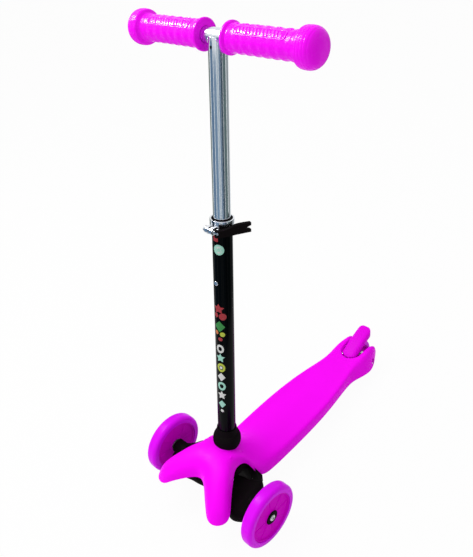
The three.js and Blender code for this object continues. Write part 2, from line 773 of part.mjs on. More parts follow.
function tyre(inner, outer, width, shoulder, segments) {
  const half = width / 2;
  const steps = 2;
  const arc = (from, centreZ) => Array.from({ length: steps + 1 }, (_, i) => {
    const angle = from + (Math.PI / 2) * (i / steps);
    return [outer - shoulder + shoulder * Math.cos(angle), centreZ + shoulder * Math.sin(angle)];
  });
  return revolve([
    [inner, -half], ...arc(-Math.PI / 2, -half + shoulder), ...arc(0, half - shoulder),
    [inner, half], [inner, -half],
  ], segments);
}

function wheelCore(rimInner, rimOuter, webHalf, ribCount, segments) {
  const rimHalfWidth = 10.4;
  const ribHalf = webHalf + 1.4;
  const ribHalfThick = 1;
  const bore = bearingRadius + fitGap;
  const shoulderBore = 9.5;
  const shoulderHalf = bearingNear - fitGap;
  const body = solid(revolve([
    [bore, -hubHalfWidth], [hubRadius, -hubHalfWidth], [hubRadius, -webHalf], [rimInner, -webHalf],
    [rimInner, -rimHalfWidth], [rimOuter, -rimHalfWidth], [rimOuter, rimHalfWidth], [rimInner, rimHalfWidth],
    [rimInner, webHalf], [hubRadius, webHalf], [hubRadius, hubHalfWidth], [bore, hubHalfWidth],
    [bore, shoulderHalf], [shoulderBore, shoulderHalf], [shoulderBore, -shoulderHalf], [bore, -shoulderHalf],
    [bore, -hubHalfWidth],
  ], segments));
  const ribs = Array.from({ length: ribCount }, (_, i) => solid(
    block([hubRadius - 1, -ribHalfThick, -ribHalf], [rimInner + 1, ribHalfThick, ribHalf])
      .rotateZ((2 * Math.PI * i) / ribCount),
  ));
  return join(body, ...ribs);
}

function bearing(low) {
  return pipe(bearingBore, bearingRadius, low, low + bearingFar - bearingNear, 10);
}

function frontWheel(name, side) {
  const rimOuter = 47;
  const rimInner = 44;
  const webHalf = 8;
  const tyreShoulder = 7;
  const dustRingInner = 6.6;
  const dustRingOuter = 13.5;
  const headRadius = 6;
  const place = (geometry) => outward(geometry, side).translate(side * frontWheelMid, 0, frontWheelRadius);
  const capLow = bearingFar + fitGap;
  const dustRing = pipe(dustRingInner, dustRingOuter, capLow, capLow + 2, 12);
  const bolt = revolve([
    [0, axleHoleDepth + overrun - frontWheelMid], [frontAxleRadius, axleHoleDepth + overrun - frontWheelMid],
    [frontAxleRadius, capLow], [headRadius, capLow], [headRadius, capLow + 3.6], [0, capLow + 3.6],
  ], 12);
  const washerFoot = truckBossEnd + fitGap - frontWheelMid;
  const washer = pipe(bearingBore, sleeveRadius, washerFoot, -bearingFar - fitGap, 10);
  const sleeve = pipe(bearingBore, sleeveRadius, -bearingNear + fitGap, bearingNear - fitGap, 10);
  const tread = tyre(rimOuter + fitGap, frontWheelRadius, frontWheelWidth, tyreShoulder, 32);
  piece(`${name}_tyre`, tread, plastic(violet, 0.3), place);
  piece(`${name}_core`, wheelCore(rimInner, rimOuter, webHalf, 8, 16), plastic(magenta), place);
  piece(`${name}_bearing_inner`, bearing(-bearingFar), metal(steel), place);
  piece(`${name}_bearing_outer`, bearing(bearingNear), metal(steel), place);
  piece(`${name}_sleeve`, sleeve, metal(zinc), place);
  piece(`${name}_dust_ring`, dustRing, plastic(black), place);
  piece(`${name}_axle_bolt`, bolt, metal(zinc), place);
  piece(`${name}_washer`, washer, metal(zinc), place);
}

const rearBoltSeat = 29;

function rearWheel() {
  const rimOuter = 26.7;
  const rimInner = 23.5;
  const webHalf = 7;
  const tyreShoulder = 6;
  const headRadius = 6;
  const headHeight = 3.6;
  const place = (geometry) => alongX(geometry).translate(0, wheelBase, rearWheelRadius);
  const sleeve = pipe(bearingBore, sleeveRadius, -bearingNear + fitGap, bearingNear - fitGap, 10);
  const spacer = (low, high) => pipe(bearingBore, sleeveRadius, low, high, 10);
  const armInner = rearArmInner - fitGap;
  const spacerNear = bearingFar + fitGap;
  const seat = rearBoltSeat + fitGap;
  const bolt = revolve([
    [0, -seat - 2 * headHeight], [frontAxleRadius, -seat - 2 * headHeight], [frontAxleRadius, seat],
    [headRadius, seat], [headRadius, seat + headHeight], [0, seat + headHeight],
  ], 12);
  const nut = cut(
    solid(hexagon(11, -seat - headHeight, -seat)),
    solid(rod(frontAxleRadius + fitGap, -seat - 2 * headHeight, 0, 12)),
  );
  const tread = tyre(rimOuter + fitGap, rearWheelRadius, rearWheelWidth, tyreShoulder, 24);
  piece('rear_wheel_tyre', tread, plastic(violet, 0.3), place);
  piece('rear_wheel_core', wheelCore(rimInner, rimOuter, webHalf, 6, 16), plastic(magenta), place);
  piece('rear_wheel_bearing_left', bearing(bearingNear), metal(steel), place);
  piece('rear_wheel_bearing_right', bearing(-bearingFar), metal(steel), place);
  piece('rear_wheel_sleeve', sleeve, metal(zinc), place);
  piece('rear_wheel_spacer_left', spacer(spacerNear, armInner), metal(zinc), place);
  piece('rear_wheel_spacer_right', spacer(-armInner, -spacerNear), metal(zinc), place);
  piece('rear_axle_bolt', bolt, metal(zinc), place);
  piece('rear_axle_nut', nut, metal(zinc), place);
}

// Brake: a sprung fender over the rear wheel, with a steel shoe under it

const fenderHalfWidth = 16.8;
const fenderWall = 3.5;
const fenderDepth = 14;
const brakePinAhead = 37.5;
const brakePinY = wheelBase - brakePinAhead;
const brakePinZ = 56;
const brakePinRadius = 2;
const brakePinHalf = 20;
const brakeBarrelRadius = 3.6;
const brakeBarrelNear = 5;
const brakeBarrelFar = 10;
// The fender's top from its hinge to its tail: place behind the rear axle, height over the ground
const fenderLine = [
  [-56, 58], [-46, 61], [-38, 64.5], [-24, 72], [-2, 83], [21, 91.5], [36, 95.5], [48, 97],
].map(([behind, height]) => [wheelBase + behind, height]);

function fenderForm(halfWidth, drop, depth, roundness) {
  const ringSides = 12;
  return solid(loft(fenderLine.map(([y, z]) => sectionRing(
    y, 0, z - drop - depth / 2, halfWidth, depth / 2, roundness, ringSides,
  ))).rotateZ(Math.PI / 2));
}

function brakeFender() {
  const noseAhead = 30;
  const noseY = wheelBase - noseAhead;
  const noseLength = 14.5;
  const tailBehind = 36.5;
  const tailY = wheelBase + tailBehind;
  const tailRound = 13;
  const outline = new THREE.Shape();
  outline.absellipse(0, noseY, fenderHalfWidth, noseLength, Math.PI, 2 * Math.PI, false, 0);
  outline.lineTo(fenderHalfWidth, tailY - tailRound);
  outline.absarc(fenderHalfWidth - tailRound, tailY - tailRound, tailRound, 0, Math.PI / 2, false);
  outline.lineTo(tailRound - fenderHalfWidth, tailY);
  outline.absarc(tailRound - fenderHalfWidth, tailY - tailRound, tailRound, Math.PI / 2, Math.PI, false);
  const tongue = fenderForm(fenderHalfWidth, 0, 2 * fenderDepth, 4.5)
    .intersect(solid(prism(outline, 2 * barHalfLength)));
  const inside = fenderForm(fenderHalfWidth - fenderWall + 1, fenderWall, 4 * fenderDepth, 8);
  const below = solid(sidePrism([
    ...fenderLine.map(([y, z]) => [y, z - fenderDepth]), [fenderLine.at(-1)[0], 0], [fenderLine[0][0], 0],
  ], 3 * fenderHalfWidth));
  const barrels = sides.map(([, side]) => join(
    solid(alongX(rod(brakeBarrelRadius, brakeBarrelNear, brakeBarrelFar, 12)).scale(side, 1, 1)
      .translate(0, brakePinY, brakePinZ)),
    solid(block(
      [brakeBarrelNear, brakePinY - brakeBarrelRadius + 1, brakePinZ],
      [brakeBarrelFar, brakePinY + brakeBarrelRadius - 1, brakePinZ + 2 * brakeBarrelRadius - 1],
    ).scale(side, 1, 1)),
  ));
  const hole = alongX(rod(brakePinRadius + fitGap, -brakePinHalf, brakePinHalf, 12))
    .translate(0, brakePinY, brakePinZ);
  return cut(join(cut(tongue, inside, below), ...barrels), solid(hole));
}

function brakePlate() {
  const halfWidth = 10;
  const hang = 0.9;
  const thick = 3.2;
  const drop = fenderWall + hang;
  const line = fenderLine.slice(4, 6);
  return sidePrism([
    ...line.map(([y, z]) => [y, z - drop]), ...[...line].reverse().map(([y, z]) => [y, z - drop - thick]),
  ], 2 * halfWidth);
}

function brakePin() {
  return alongX(rod(brakePinRadius, -brakePinHalf, brakePinHalf, 12)).translate(0, brakePinY, brakePinZ);
}

function brakeSpring() {
  const coilRadius = 3;
  const wireRadius = 0.5;
  const turns = 3.5;
  const halfLength = 3.4;
  const legSteps = 2;
  const legStep = 1.5;
  const coil = coilPath(coilRadius, turns, 2 * halfLength);
  const leg = (end, sign) => Array.from({ length: legSteps }, (_, i) => (
    new THREE.Vector3(end.x, end.y + sign * legStep * (i + 1), end.z)));
  const path = [...leg(coil[0], -1).reverse(), ...coil, ...leg(coil.at(-1), -1)];
  console.log('brake spring, least gap to itself', leastGap(path, wireRadius).toFixed(2));
  return wire(path, wireRadius, wireSides).translate(0, 0, -halfLength).rotateY(Math.PI / 2)
    .translate(0, brakePinY, brakePinZ);
}

// Deck shell with its ribs, bosses and holes

function deckShell() {
  const core = solid(coreUnder(deckCage(), shellWall));
  const ribLow = 43;
  const ribHalf = 1.1;
  const ribPitch = 100;
  const ribStart = 120;
  const ribsAheadOfAxle = 94;
  const ribEnd = wheelBase - ribsAheadOfAxle;
  const spineFront = 84;
  const spineAheadOfAxle = 60;
  const spineBack = wheelBase - spineAheadOfAxle;
  const reach = 2 * deckHalfWidth;
  const ribs = [];
  for (let y = ribStart; y < ribEnd; y += ribPitch) {
    ribs.push(solid(block([-reach, y - ribHalf, ribLow], [reach, y + ribHalf, reach])));
  }
  ribs.push(solid(block([-ribHalf, spineFront, ribLow], [ribHalf, spineBack, reach])));
  const housingBossRadius = 5;
  const housingBossX = 29;
  const axleBossRadius = 10;
  const axleBossFar = 34;
  const accessRadius = 9;
  const pinBossRadius = 5;
  const pinBossNear = 18.5;
  const pinBossFar = 26;
  const bosses = sides.flatMap(([, side]) => [
    ...[10, 39].map((y) => solid(rod(housingBossRadius, housingRoof + fitGap, reach, 10)
      .translate(side * housingBossX, y, 0))),
    solid(alongX(rod(axleBossRadius, rearArmInner + 1, axleBossFar, 16)).scale(side, 1, 1)
      .translate(0, wheelBase, rearWheelRadius)),
    solid(alongX(rod(pinBossRadius, pinBossNear, pinBossFar, 10)).scale(side, 1, 1)
      .translate(0, brakePinY, brakePinZ)),
  ]);
  const access = sides.map(([, side]) => solid(
    alongX(rod(accessRadius, rearBoltSeat, reach, 12)).scale(side, 1, 1)
      .translate(0, wheelBase, rearWheelRadius),
  ));
  return cut(
    join(solid(thicken(deckCage(), shellWall)), ...[...ribs, ...bosses].map((body) => body.intersect(core))),
    solid(onStem(new THREE.SphereGeometry(collarRadius + 3 * fitGap, tubeSegments, 8).rotateX(Math.PI / 2))),
    solid(onStem(rod(lowerTubeRadius + 2 * fitGap, lowerTubeFoot, 0, tubeSegments))),
    solid(alongX(rod(frontAxleRadius + fitGap, -reach, reach, 12)).translate(0, wheelBase, rearWheelRadius)),
    solid(alongX(rod(brakePinRadius + fitGap, -brakePinHalf - fitGap, brakePinHalf + fitGap, 12))
      .translate(0, brakePinY, brakePinZ)),
    ...access,
  );
}

// Assembly

piece('deck_shell', deckShell(), plastic(magenta));
piece('steering_housing', steeringHousing(), plastic(black, 0.6));
piece('stem_collar', stemCollar(), plastic(black), onStem);
piece('lower_tube', lowerTube(), metal(black, 0.4), onStem);
piece('tube_bush', tubeBush(), plastic(black, 0.5), onStem);
piece('clamp_band', clampBand(), metal(steel, 0.25), onStem);
piece('clamp_bolt', clampBolt(), metal(zinc), onStem);
piece('clamp_nut', clampNut(), metal(zinc), onStem);
piece('clamp_lever_pin', leverPin(), metal(zinc), onStem);
piece('clamp_lever', clampLever(), plastic(black), onStem);
piece('height_button', heightButton(), metal(steel), onStem);
piece('t_bar', tBar(), metal(chrome, 0.12), onStem);

piece('front_truck', frontTruck(), plastic(black, 0.45));
piece('kingpin_bolt', kingpinBolt(), metal(zinc), onKingpin);
piece('kingpin_nut', kingpinNut(), metal(zinc), onKingpin);
piece('kingpin_washer', kingpinWasher(), metal(zinc), onKingpin);
piece('kingpin_bush', kingpinBush(), plastic(0xe8e4da, 0.5), onKingpin);

sides.forEach(([name, side]) => {
  piece(`grip_${name}`, grip(), plastic(magenta, 0.45), (geometry) => (
    onStem(outward(geometry, side).translate(0, 0, barHeight))));
  piece(`steering_spring_${name}`, steeringSpring(side), metal(steel));
  frontWheel(`front_wheel_${name}`, side);
});

rearWheel();
piece('brake_fender', brakeFender(), plastic(magenta));
piece('brake_plate', brakePlate(), metal(steel));
piece('brake_pin', brakePin(), metal(zinc));
piece('brake_spring', brakeSpring(), metal(steel));

// The frame's origin is under the middle of the whole scooter's box
const bounds = new THREE.Box3().setFromObject(scooter);
const middle = bounds.getCenter(new THREE.Vector3());
scooter.position.set(-middle.x, -middle.y, -bounds.min.z);
const size = bounds.getSize(new THREE.Vector3());
console.log('front axle at y', (-middle.y).toFixed(4), 'box', size.toArray().join(' '));

export default scooter;
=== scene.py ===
"""Surfaces and finishes of a child's lean-to-steer scooter, made round its fixed frame."""

import math

import bmesh
import bpy
from mathutils import Matrix, Vector
from mathutils.bvhtree import BVHTree


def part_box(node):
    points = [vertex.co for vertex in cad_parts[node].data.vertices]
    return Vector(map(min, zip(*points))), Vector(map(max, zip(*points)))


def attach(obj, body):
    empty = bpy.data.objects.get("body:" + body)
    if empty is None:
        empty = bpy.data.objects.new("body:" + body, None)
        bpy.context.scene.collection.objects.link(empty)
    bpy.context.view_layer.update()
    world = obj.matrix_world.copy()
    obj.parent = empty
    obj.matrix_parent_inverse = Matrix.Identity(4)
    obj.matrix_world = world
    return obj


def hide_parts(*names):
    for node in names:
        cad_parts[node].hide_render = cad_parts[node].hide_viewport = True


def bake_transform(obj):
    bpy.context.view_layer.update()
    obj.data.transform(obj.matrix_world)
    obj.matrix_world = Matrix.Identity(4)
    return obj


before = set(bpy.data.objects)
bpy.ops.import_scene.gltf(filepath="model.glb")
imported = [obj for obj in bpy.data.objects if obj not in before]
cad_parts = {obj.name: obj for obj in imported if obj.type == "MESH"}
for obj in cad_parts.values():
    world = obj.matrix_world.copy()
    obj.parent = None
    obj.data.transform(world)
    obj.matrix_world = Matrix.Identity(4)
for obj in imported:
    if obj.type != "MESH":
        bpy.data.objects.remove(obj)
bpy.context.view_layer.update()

bl_info = {
    "name": "Lean-to-steer scooter",
    "version": (1, 0, 0),
    "blender": (4, 5, 0),
    "location": "3D View > Sidebar > Scooter",
    "description": "Models and finishes the pieces of a three wheel scooter",
    "category": "Object",
}

MM = 0.001
TURN = 2 * math.pi
WELD = 1e-6
SIDES = {"left": 1, "right": -1}


# Places. The scooter faces -Y, its rider's left is +X and up is +Z.


def middle(node):
    low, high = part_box(node)
    return (low + high) / 2


def at(x=0, y=0, z=0):
    return Matrix.Translation((x, y, z))


def turn(angle, axis):
    return Matrix.Rotation(angle, 4, axis)


def along(axis, sign=1):
    """Turns +Z to +X or -X, or to -Y, the scooter's front."""
    return turn(sign * math.pi / 2, "Y") if axis == "X" else turn(math.pi / 2, "X")


FRONT_WHEEL = {side: middle(f"front_wheel_{side}_tyre") for side in SIDES}
REAR_WHEEL = middle("rear_wheel_tyre")
FRONT_AXLE_Y = FRONT_WHEEL["left"].y
DRAWING = at(y=FRONT_AXLE_Y)
REAR = Matrix.Translation(REAR_WHEEL) @ along("X")
BRAKE_PIN = Vector((0, REAR_WHEEL.y - 37.5 * MM, 56 * MM))


def tilted(y, z, angle):
    """A tilted place in the middle plane, once in the drawing's millimetres and once in the frame."""
    tilt = turn(angle, "X")
    return at(0, y, z) @ tilt, at(0, FRONT_AXLE_Y + y * MM, z * MM) @ tilt


STEM_RAKE = math.radians(6.3)
STEM_DRAWN, STEM = tilted(36, 133, -STEM_RAKE)
KINGPIN_DRAWN, KINGPIN = tilted(12, 60, math.radians(40))

# Sizes that several pieces share, in millimetres. Heights are measured along the stem from its foot.
BAR_HEIGHT, BUTTON_HEIGHT, CLAMP_HEIGHT = 710, 337, 433
LOWER_BORE, LOWER_OUTER = 14.6, 16.2
UPPER_BORE, UPPER_OUTER = 12.4, 13.8
BUSH_SEAT = 15.2
FIT = 0.3
AXLE = 4
AXLE_HEIGHT = 60


def on_stem(height, turned=None):
    place = STEM @ at(z=height * MM)
    return place @ turned if turned else place


# Mesh helpers. Sizes are in millimetres here, and the place given turns them to metres.


def scaled(place):
    return place @ Matrix.Scale(MM, 4)


def arc_points(centre, radius, start, end, steps):
    """Points of an arc, angles in degrees."""
    spread = [math.radians(start + (end - start) * i / steps) for i in range(steps + 1)]
    return [(centre[0] + radius * math.cos(a), centre[1] + radius * math.sin(a)) for a in spread]


def rounded(points, closed=True, steps=4):
    """An outline whose corners (x, y, radius) are turned into arcs. A corner with no radius stays sharp."""
    made = []
    count = len(points)
    for i, corner in enumerate(points):
        here = Vector(corner[:2])
        radius = corner[2] if len(corner) > 2 else 0
        if not radius or not (closed or 0 < i < count - 1):
            made.append(tuple(here))
            continue
        before = Vector(points[i - 1][:2]) - here
        after = Vector(points[(i + 1) % count][:2]) - here
        half = before.angle(after) / 2
        reach = min(radius / math.tan(half), 0.49 * before.length, 0.49 * after.length)
        start = here + before.normalized() * reach
        end = here + after.normalized() * reach
        for k in range(steps + 1):
            t = k / steps
            made.append(tuple(start * (1 - t) ** 2 + here * 2 * t * (1 - t) + end * t ** 2))
    return made


def smooth_line(points, steps=6):
    """More points on a smooth curve through the given ones, all of them tuples of the same length."""
    vectors = [Vector(p) for p in points]
    made = []
    for i in range(len(vectors) - 1):
        a, b, c = vectors[max(i - 1, 0)], vectors[i], vectors[i + 1]
        d = vectors[min(i + 2, len(vectors) - 1)]
        for k in range(steps):
            t = k / steps
            made.append(0.5 * (2 * b + (c - a) * t + (2 * a - 5 * b + 4 * c - d) * t ** 2
                               + (3 * b - 3 * c + d - a) * t ** 3))
    made.append(vectors[-1])
    return [tuple(v) for v in made]


def everything(bm):
    return bm.verts[:] + bm.edges[:] + bm.faces[:]


def tidy(bm):
    bmesh.ops.remove_doubles(bm, verts=bm.verts, dist=WELD)
    bmesh.ops.recalc_face_normals(bm, faces=bm.faces)
    return bm


def placed(bm, place):
    if place:
        bmesh.ops.transform(bm, matrix=place, verts=bm.verts)
        if place.determinant() < 0:
            bmesh.ops.reverse_faces(bm, faces=bm.faces)
    return bm


def lathe(profile, steps=64, closed=True):
    """A body spun round +Z from pairs of radius and height."""
    bm = bmesh.new()
    verts = [bm.verts.new((radius, 0, height)) for radius, height in profile]
    edges = [bm.edges.new(pair) for pair in zip(verts, verts[1:])]
    if closed:
        edges.append(bm.edges.new((verts[-1], verts[0])))
    bmesh.ops.spin(bm, geom=verts + edges, cent=(0, 0, 0), axis=(0, 0, 1), dvec=(0, 0, 0),
                   angle=TURN, steps=steps, use_merge=True)
    return tidy(bm)


def ring(inner, outer, low, high, soft=0.4, steps=64, place=None):
    corners = [(inner, low, soft), (outer, low, soft), (outer, high, soft), (inner, high, soft)]
    return placed(lathe(rounded(corners), steps), place)


def rod(radius, low, high, soft=0.4, steps=64, place=None):
    profile = rounded([(0, low), (radius, low, soft), (radius, high, soft), (0, high)], closed=False)
    return placed(lathe(profile, steps, closed=False), place)


def flat(*outlines, height=0):
    """A flat face with that outline, or the band between two outlines of equally many points."""
    bm = bmesh.new()
    loops = [[bm.verts.new((x, y, height)) for x, y in outline] for outline in outlines]
    if len(loops) == 1:
        bm.faces.new(loops[0])
    else:
        edges = [bm.edges.new(pair) for loop in loops for pair in zip(loop, loop[1:] + loop[:1])]
        bmesh.ops.bridge_loops(bm, edges=edges)
    return bm


def raised(bm, height):
    """Extrudes a flat shape upwards and returns the vertices of its new end."""
    grown = bmesh.ops.extrude_face_region(bm, geom=bm.faces[:])
    end = [v for v in grown["geom"] if isinstance(v, bmesh.types.BMVert)]
    bmesh.ops.translate(bm, verts=end, vec=(0, 0, height))
    return end


def sliced(bm, places):
    """Cuts a flat shape across at these places on X, so that it can be bent."""
    for x in places:
        bmesh.ops.bisect_plane(bm, geom=everything(bm), plane_co=(x, 0, 0), plane_no=(1, 0, 0), dist=1e-4)
    return bm


def prism(outline, low, high):
    """A straight extrusion of an (x, y) outline from one height to another."""
    bm = flat(outline, height=low)
    raised(bm, high - low)
    return tidy(bm)


def block(low, high):
    bm = bmesh.new()
    bmesh.ops.create_cube(bm, size=1)
    size = Vector(high) - Vector(low)
    bmesh.ops.scale(bm, verts=bm.verts, vec=size)
    bmesh.ops.translate(bm, verts=bm.verts, vec=Vector(low) + size / 2)
    return bm


def soft_block(low, high, soft):
    bm = block(low, high)
    bmesh.ops.bevel(bm, geom=bm.edges[:], offset=soft, offset_type="OFFSET", affect="EDGES",
                    segments=3, profile=0.5, material=-1)
    return bm


def hexagon(across, low, high, soft=0.8):
    """A hexagonal head or nut with its corners chamfered round."""
    bm = bmesh.new()
    bmesh.ops.create_circle(bm, cap_ends=True, segments=6, radius=across / 2 / math.cos(math.pi / 6))
    bmesh.ops.translate(bm, verts=bm.verts, vec=(0, 0, low))
    raised(bm, high - low)
    tidy(bm)
    limit = across / 2 + 0.1
    wide, narrow = limit + 0.9 * soft, limit - soft
    cone = lathe([(0, low), (narrow, low), (wide, low + soft), (wide, high - soft), (narrow, high), (0, high)],
                 48, closed=False)
    return carve(bm, cone, operation="INTERSECT")


def together(*bodies):
    """Several closed bodies in one mesh."""
    whole = bmesh.new()
    for body in bodies:
        mesh = bpy.data.meshes.new("part")
        body.to_mesh(mesh)
        body.free()
        whole.from_mesh(mesh)
        bpy.data.meshes.remove(mesh)
    return whole


def loose_object(name, bm):
    mesh = bpy.data.meshes.new(name)
    bm.to_mesh(mesh)
    bm.free()
    made = bpy.data.objects.new(name, mesh)
    bpy.context.scene.collection.objects.link(made)
    return made


def drop_object(made):
    mesh = made.data
    bpy.data.objects.remove(made)
    bpy.data.meshes.remove(mesh)


def evaluated(made):
    """The mesh of an object with its modifiers applied, as a new bmesh. The object is removed."""
    bpy.context.view_layer.update()
    mesh = bpy.data.meshes.new_from_object(made.evaluated_get(bpy.context.evaluated_depsgraph_get()))
    bm = bmesh.new()
    bm.from_mesh(mesh)
    bpy.data.meshes.remove(mesh)
    drop_object(made)
    return bm


def carve(bm, *tools, operation="DIFFERENCE"):
    """Cuts the tools out of a closed body, or joins them to it, or keeps what they share."""
    body = loose_object("body", bm)
    cutters = [loose_object("tool", tool) for tool in tools]
    for cutter in cutters:
        step = body.modifiers.new("step", "BOOLEAN")
        step.operation = operation
        step.solver = "EXACT"
        step.object = cutter
    result = evaluated(body)
    for cutter in cutters:
        drop_object(cutter)
    bmesh.ops.remove_doubles(result, verts=result.verts, dist=WELD)
    return result


def join(bm, *others):
    return carve(bm, *others, operation="UNION")


def superellipse(centre, halves, roundness, count):
    """Points of a rounded-box section."""
    made = []
    for k in range(count):
        angle = TURN * (k + 0.5) / count
        bend = [math.copysign(abs(f) ** (2 / roundness), f) for f in (math.cos(angle), math.sin(angle))]
        made.append((centre[0] + halves[0] * bend[0], centre[1] + halves[1] * bend[1]))
    return made


def loft(rings):
    """A closed body through rings of equally many points."""
    bm = bmesh.new()
    verts = bmesh.ops.create_circle(bm, cap_ends=False, segments=len(rings[0]), radius=1)["verts"]
    for vert, point in zip(verts, rings[0]):
        vert.co = point
    bmesh.ops.contextual_create(bm, geom=verts)
    for points in rings[1:]:
        edges = [e for e in bm.edges if e.verts[0] in verts and e.verts[1] in verts]
        grown = bmesh.ops.extrude_edge_only(bm, edges=edges)["geom"]
        new = {v for v in grown if isinstance(v, bmesh.types.BMVert)}
        verts = [next(e.other_vert(v) for e in v.link_edges if e.other_vert(v) in new) for v in verts]
        for vert, point in zip(verts, points):
            vert.co = point
    bmesh.ops.contextual_create(bm, geom=verts)
    bmesh.ops.recalc_face_normals(bm, faces=bm.faces)
    return bm


def coil(radius, wire, turns, height, steps_per_turn=28):
    """A helical spring round +Z, its wire's middle from height 0 up."""
    bm = bmesh.new()
    verts = bmesh.ops.create_circle(bm, cap_ends=True, segments=10, radius=wire)["verts"]
    bmesh.ops.rotate(bm, verts=verts, cent=(0, 0, 0), matrix=Matrix.Rotation(math.pi / 2, 3, "X"))
    bmesh.ops.translate(bm, verts=verts, vec=(radius, 0, 0))
    steps = int(turns * steps_per_turn)
    bmesh.ops.spin(bm, geom=everything(bm), cent=(0, 0, 0), axis=(0, 0, 1), dvec=(0, 0, height / steps),
                   angle=TURN * turns, steps=steps, use_merge=False)
    bmesh.ops.holes_fill(bm, edges=bm.edges)
    return tidy(bm)


def finish_piece(name, bm, body, finish, nodes=(), place=None, slot=None, sharp=35, bevel=0.0, rides=True):
    """Makes one piece of a mesh: its place, shading, material, body and the frame nodes it stands for."""
    slot = slot or FINISHES[finish][0]
    made = loose_object(name, placed(bm, place and scaled(place)))
    for polygon in made.data.polygons:
        polygon.use_smooth = True
    made.data.set_sharp_from_angle(angle=math.radians(sharp))
    made.data.materials.append(finish_material(finish))
    if bevel:
        step = made.modifiers.new("edges", "BEVEL")
        step.width = bevel * MM
        step.segments = 2
        step.limit_method = "ANGLE"
        step.angle_limit = math.radians(sharp)
        step.harden_normals = True
    if rides:
        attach(made, body)
    if nodes:
        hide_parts(*nodes)
    return made


# Finishes. Patterns read object coordinates, in metres.

# Places of the Mix node's colour sockets
COLOUR_A, COLOUR_B, COLOUR_RESULT = 6, 7, 2


def blank(name, colour, roughness, metallic=0.0, specular=0.5):
    """A new material with its shader's own values set."""
    material = bpy.data.materials.new(name)
    material.use_nodes = True
    tree = material.node_tree
    shader = tree.nodes["Principled BSDF"]
    shader.inputs["Base Color"].default_value = (*colour, 1)
    shader.inputs["Roughness"].default_value = roughness
    shader.inputs["Metallic"].default_value = metallic
    shader.inputs["Specular IOR Level"].default_value = specular
    return material, tree, shader


def add(tree, kind, sockets=None, **settings):
    """A node with its settings, and its sockets set or linked."""
    made = tree.nodes.new("ShaderNode" + kind)
    for key, value in settings.items():
        setattr(made, key, value)
    for key, value in (sockets or {}).items():
        if isinstance(value, bpy.types.NodeSocket):
            tree.links.new(value, made.inputs[key])
        else:
            made.inputs[key].default_value = value
    return made


def position(tree, scale=(1, 1, 1), turned=(0, 0, 0)):
    """Object coordinates, turned first and then stretched."""
    coordinates = add(tree, "TexCoord").outputs["Object"]
    aligned = add(tree, "Mapping", {"Vector": coordinates, "Rotation": turned}).outputs["Vector"]
    return add(tree, "Mapping", {"Vector": aligned, "Scale": scale}).outputs["Vector"]


def noise(tree, place, scale, detail=3.0, roughness=0.5):
    sockets = {"Vector": place, "Scale": scale, "Detail": detail, "Roughness": roughness}
    return add(tree, "TexNoise", sockets).outputs["Fac"]


def shade(colour, factor):
    return tuple(min(1.0, max(0.0, c * factor)) for c in colour)


def vary_colour(tree, shader, factor, colour, low, high):
    """Lets a pattern shift the shader's colour between two shades of it."""
    sockets = {"Factor": factor, COLOUR_A: (*shade(colour, low), 1), COLOUR_B: (*shade(colour, high), 1)}
    mixed = add(tree, "Mix", sockets, data_type="RGBA").outputs[COLOUR_RESULT]
    tree.links.new(mixed, shader.inputs["Base Color"])


def vary_gloss(tree, shader, factor, low, high):
    """Lets the middle part of a pattern shift the shader's roughness from low to high."""
    sockets = {"Value": factor, "From Min": 0.3, "From Max": 0.7, "To Min": low, "To Max": high}
    tree.links.new(add(tree, "MapRange", sockets).outputs["Result"], shader.inputs["Roughness"])


def add_bump(tree, shader, height, strength, distance):
    bump = add(tree, "Bump", {"Height": height, "Strength": strength, "Distance": distance})
    tree.links.new(bump.outputs["Normal"], shader.inputs["Normal"])


def moulded(name, colour, roughness, specular=0.5, grain=900, depth=0.00004, vary=0.05):
    """Moulded plastic: faint flow clouds in its colour, a fine grain and rubbed, slightly uneven gloss."""
    material, tree, shader = blank(name, colour, roughness, specular=specular)
    place = position(tree)
    vary_colour(tree, shader, noise(tree, place, 14), colour, 1 - vary, 1 + vary)
    vary_gloss(tree, shader, noise(tree, place, 60, 5, 0.65), roughness * 0.85, roughness * 1.2)
    add_bump(tree, shader, noise(tree, place, grain, 2), 0.35, depth)
    return material


def worked_metal(name, colour, roughness, stretch, turned=(0, 0, 0)):
    """Turned, drawn or plated metal: fine lines along one way, with gloss that varies along them."""
    material, tree, shader = blank(name, colour, roughness, metallic=1.0)
    lines = noise(tree, position(tree, stretch, turned), 1, 4, 0.6)
    vary_colour(tree, shader, lines, colour, 0.94, 1.06)
    vary_gloss(tree, shader, noise(tree, position(tree), 45, 4, 0.6), roughness * 0.7, roughness * 1.35)
    add_bump(tree, shader, lines, 0.25, 0.00002)
    return material


def colours():
    return bpy.context.scene.scooter_colours


def sizes():
    return bpy.context.scene.scooter_sizes


STEM_TURN = (STEM_RAKE, 0, 0)
PRINT_COLOURS = {
    "red": (0.35, 0.012, 0.02), "green": (0.02, 0.22, 0.035), "mint": (0.3, 0.62, 0.5),
    "white": (0.62, 0.64, 0.62), "yellow": (0.42, 0.5, 0.03), "orange": (0.55, 0.16, 0.03),
}
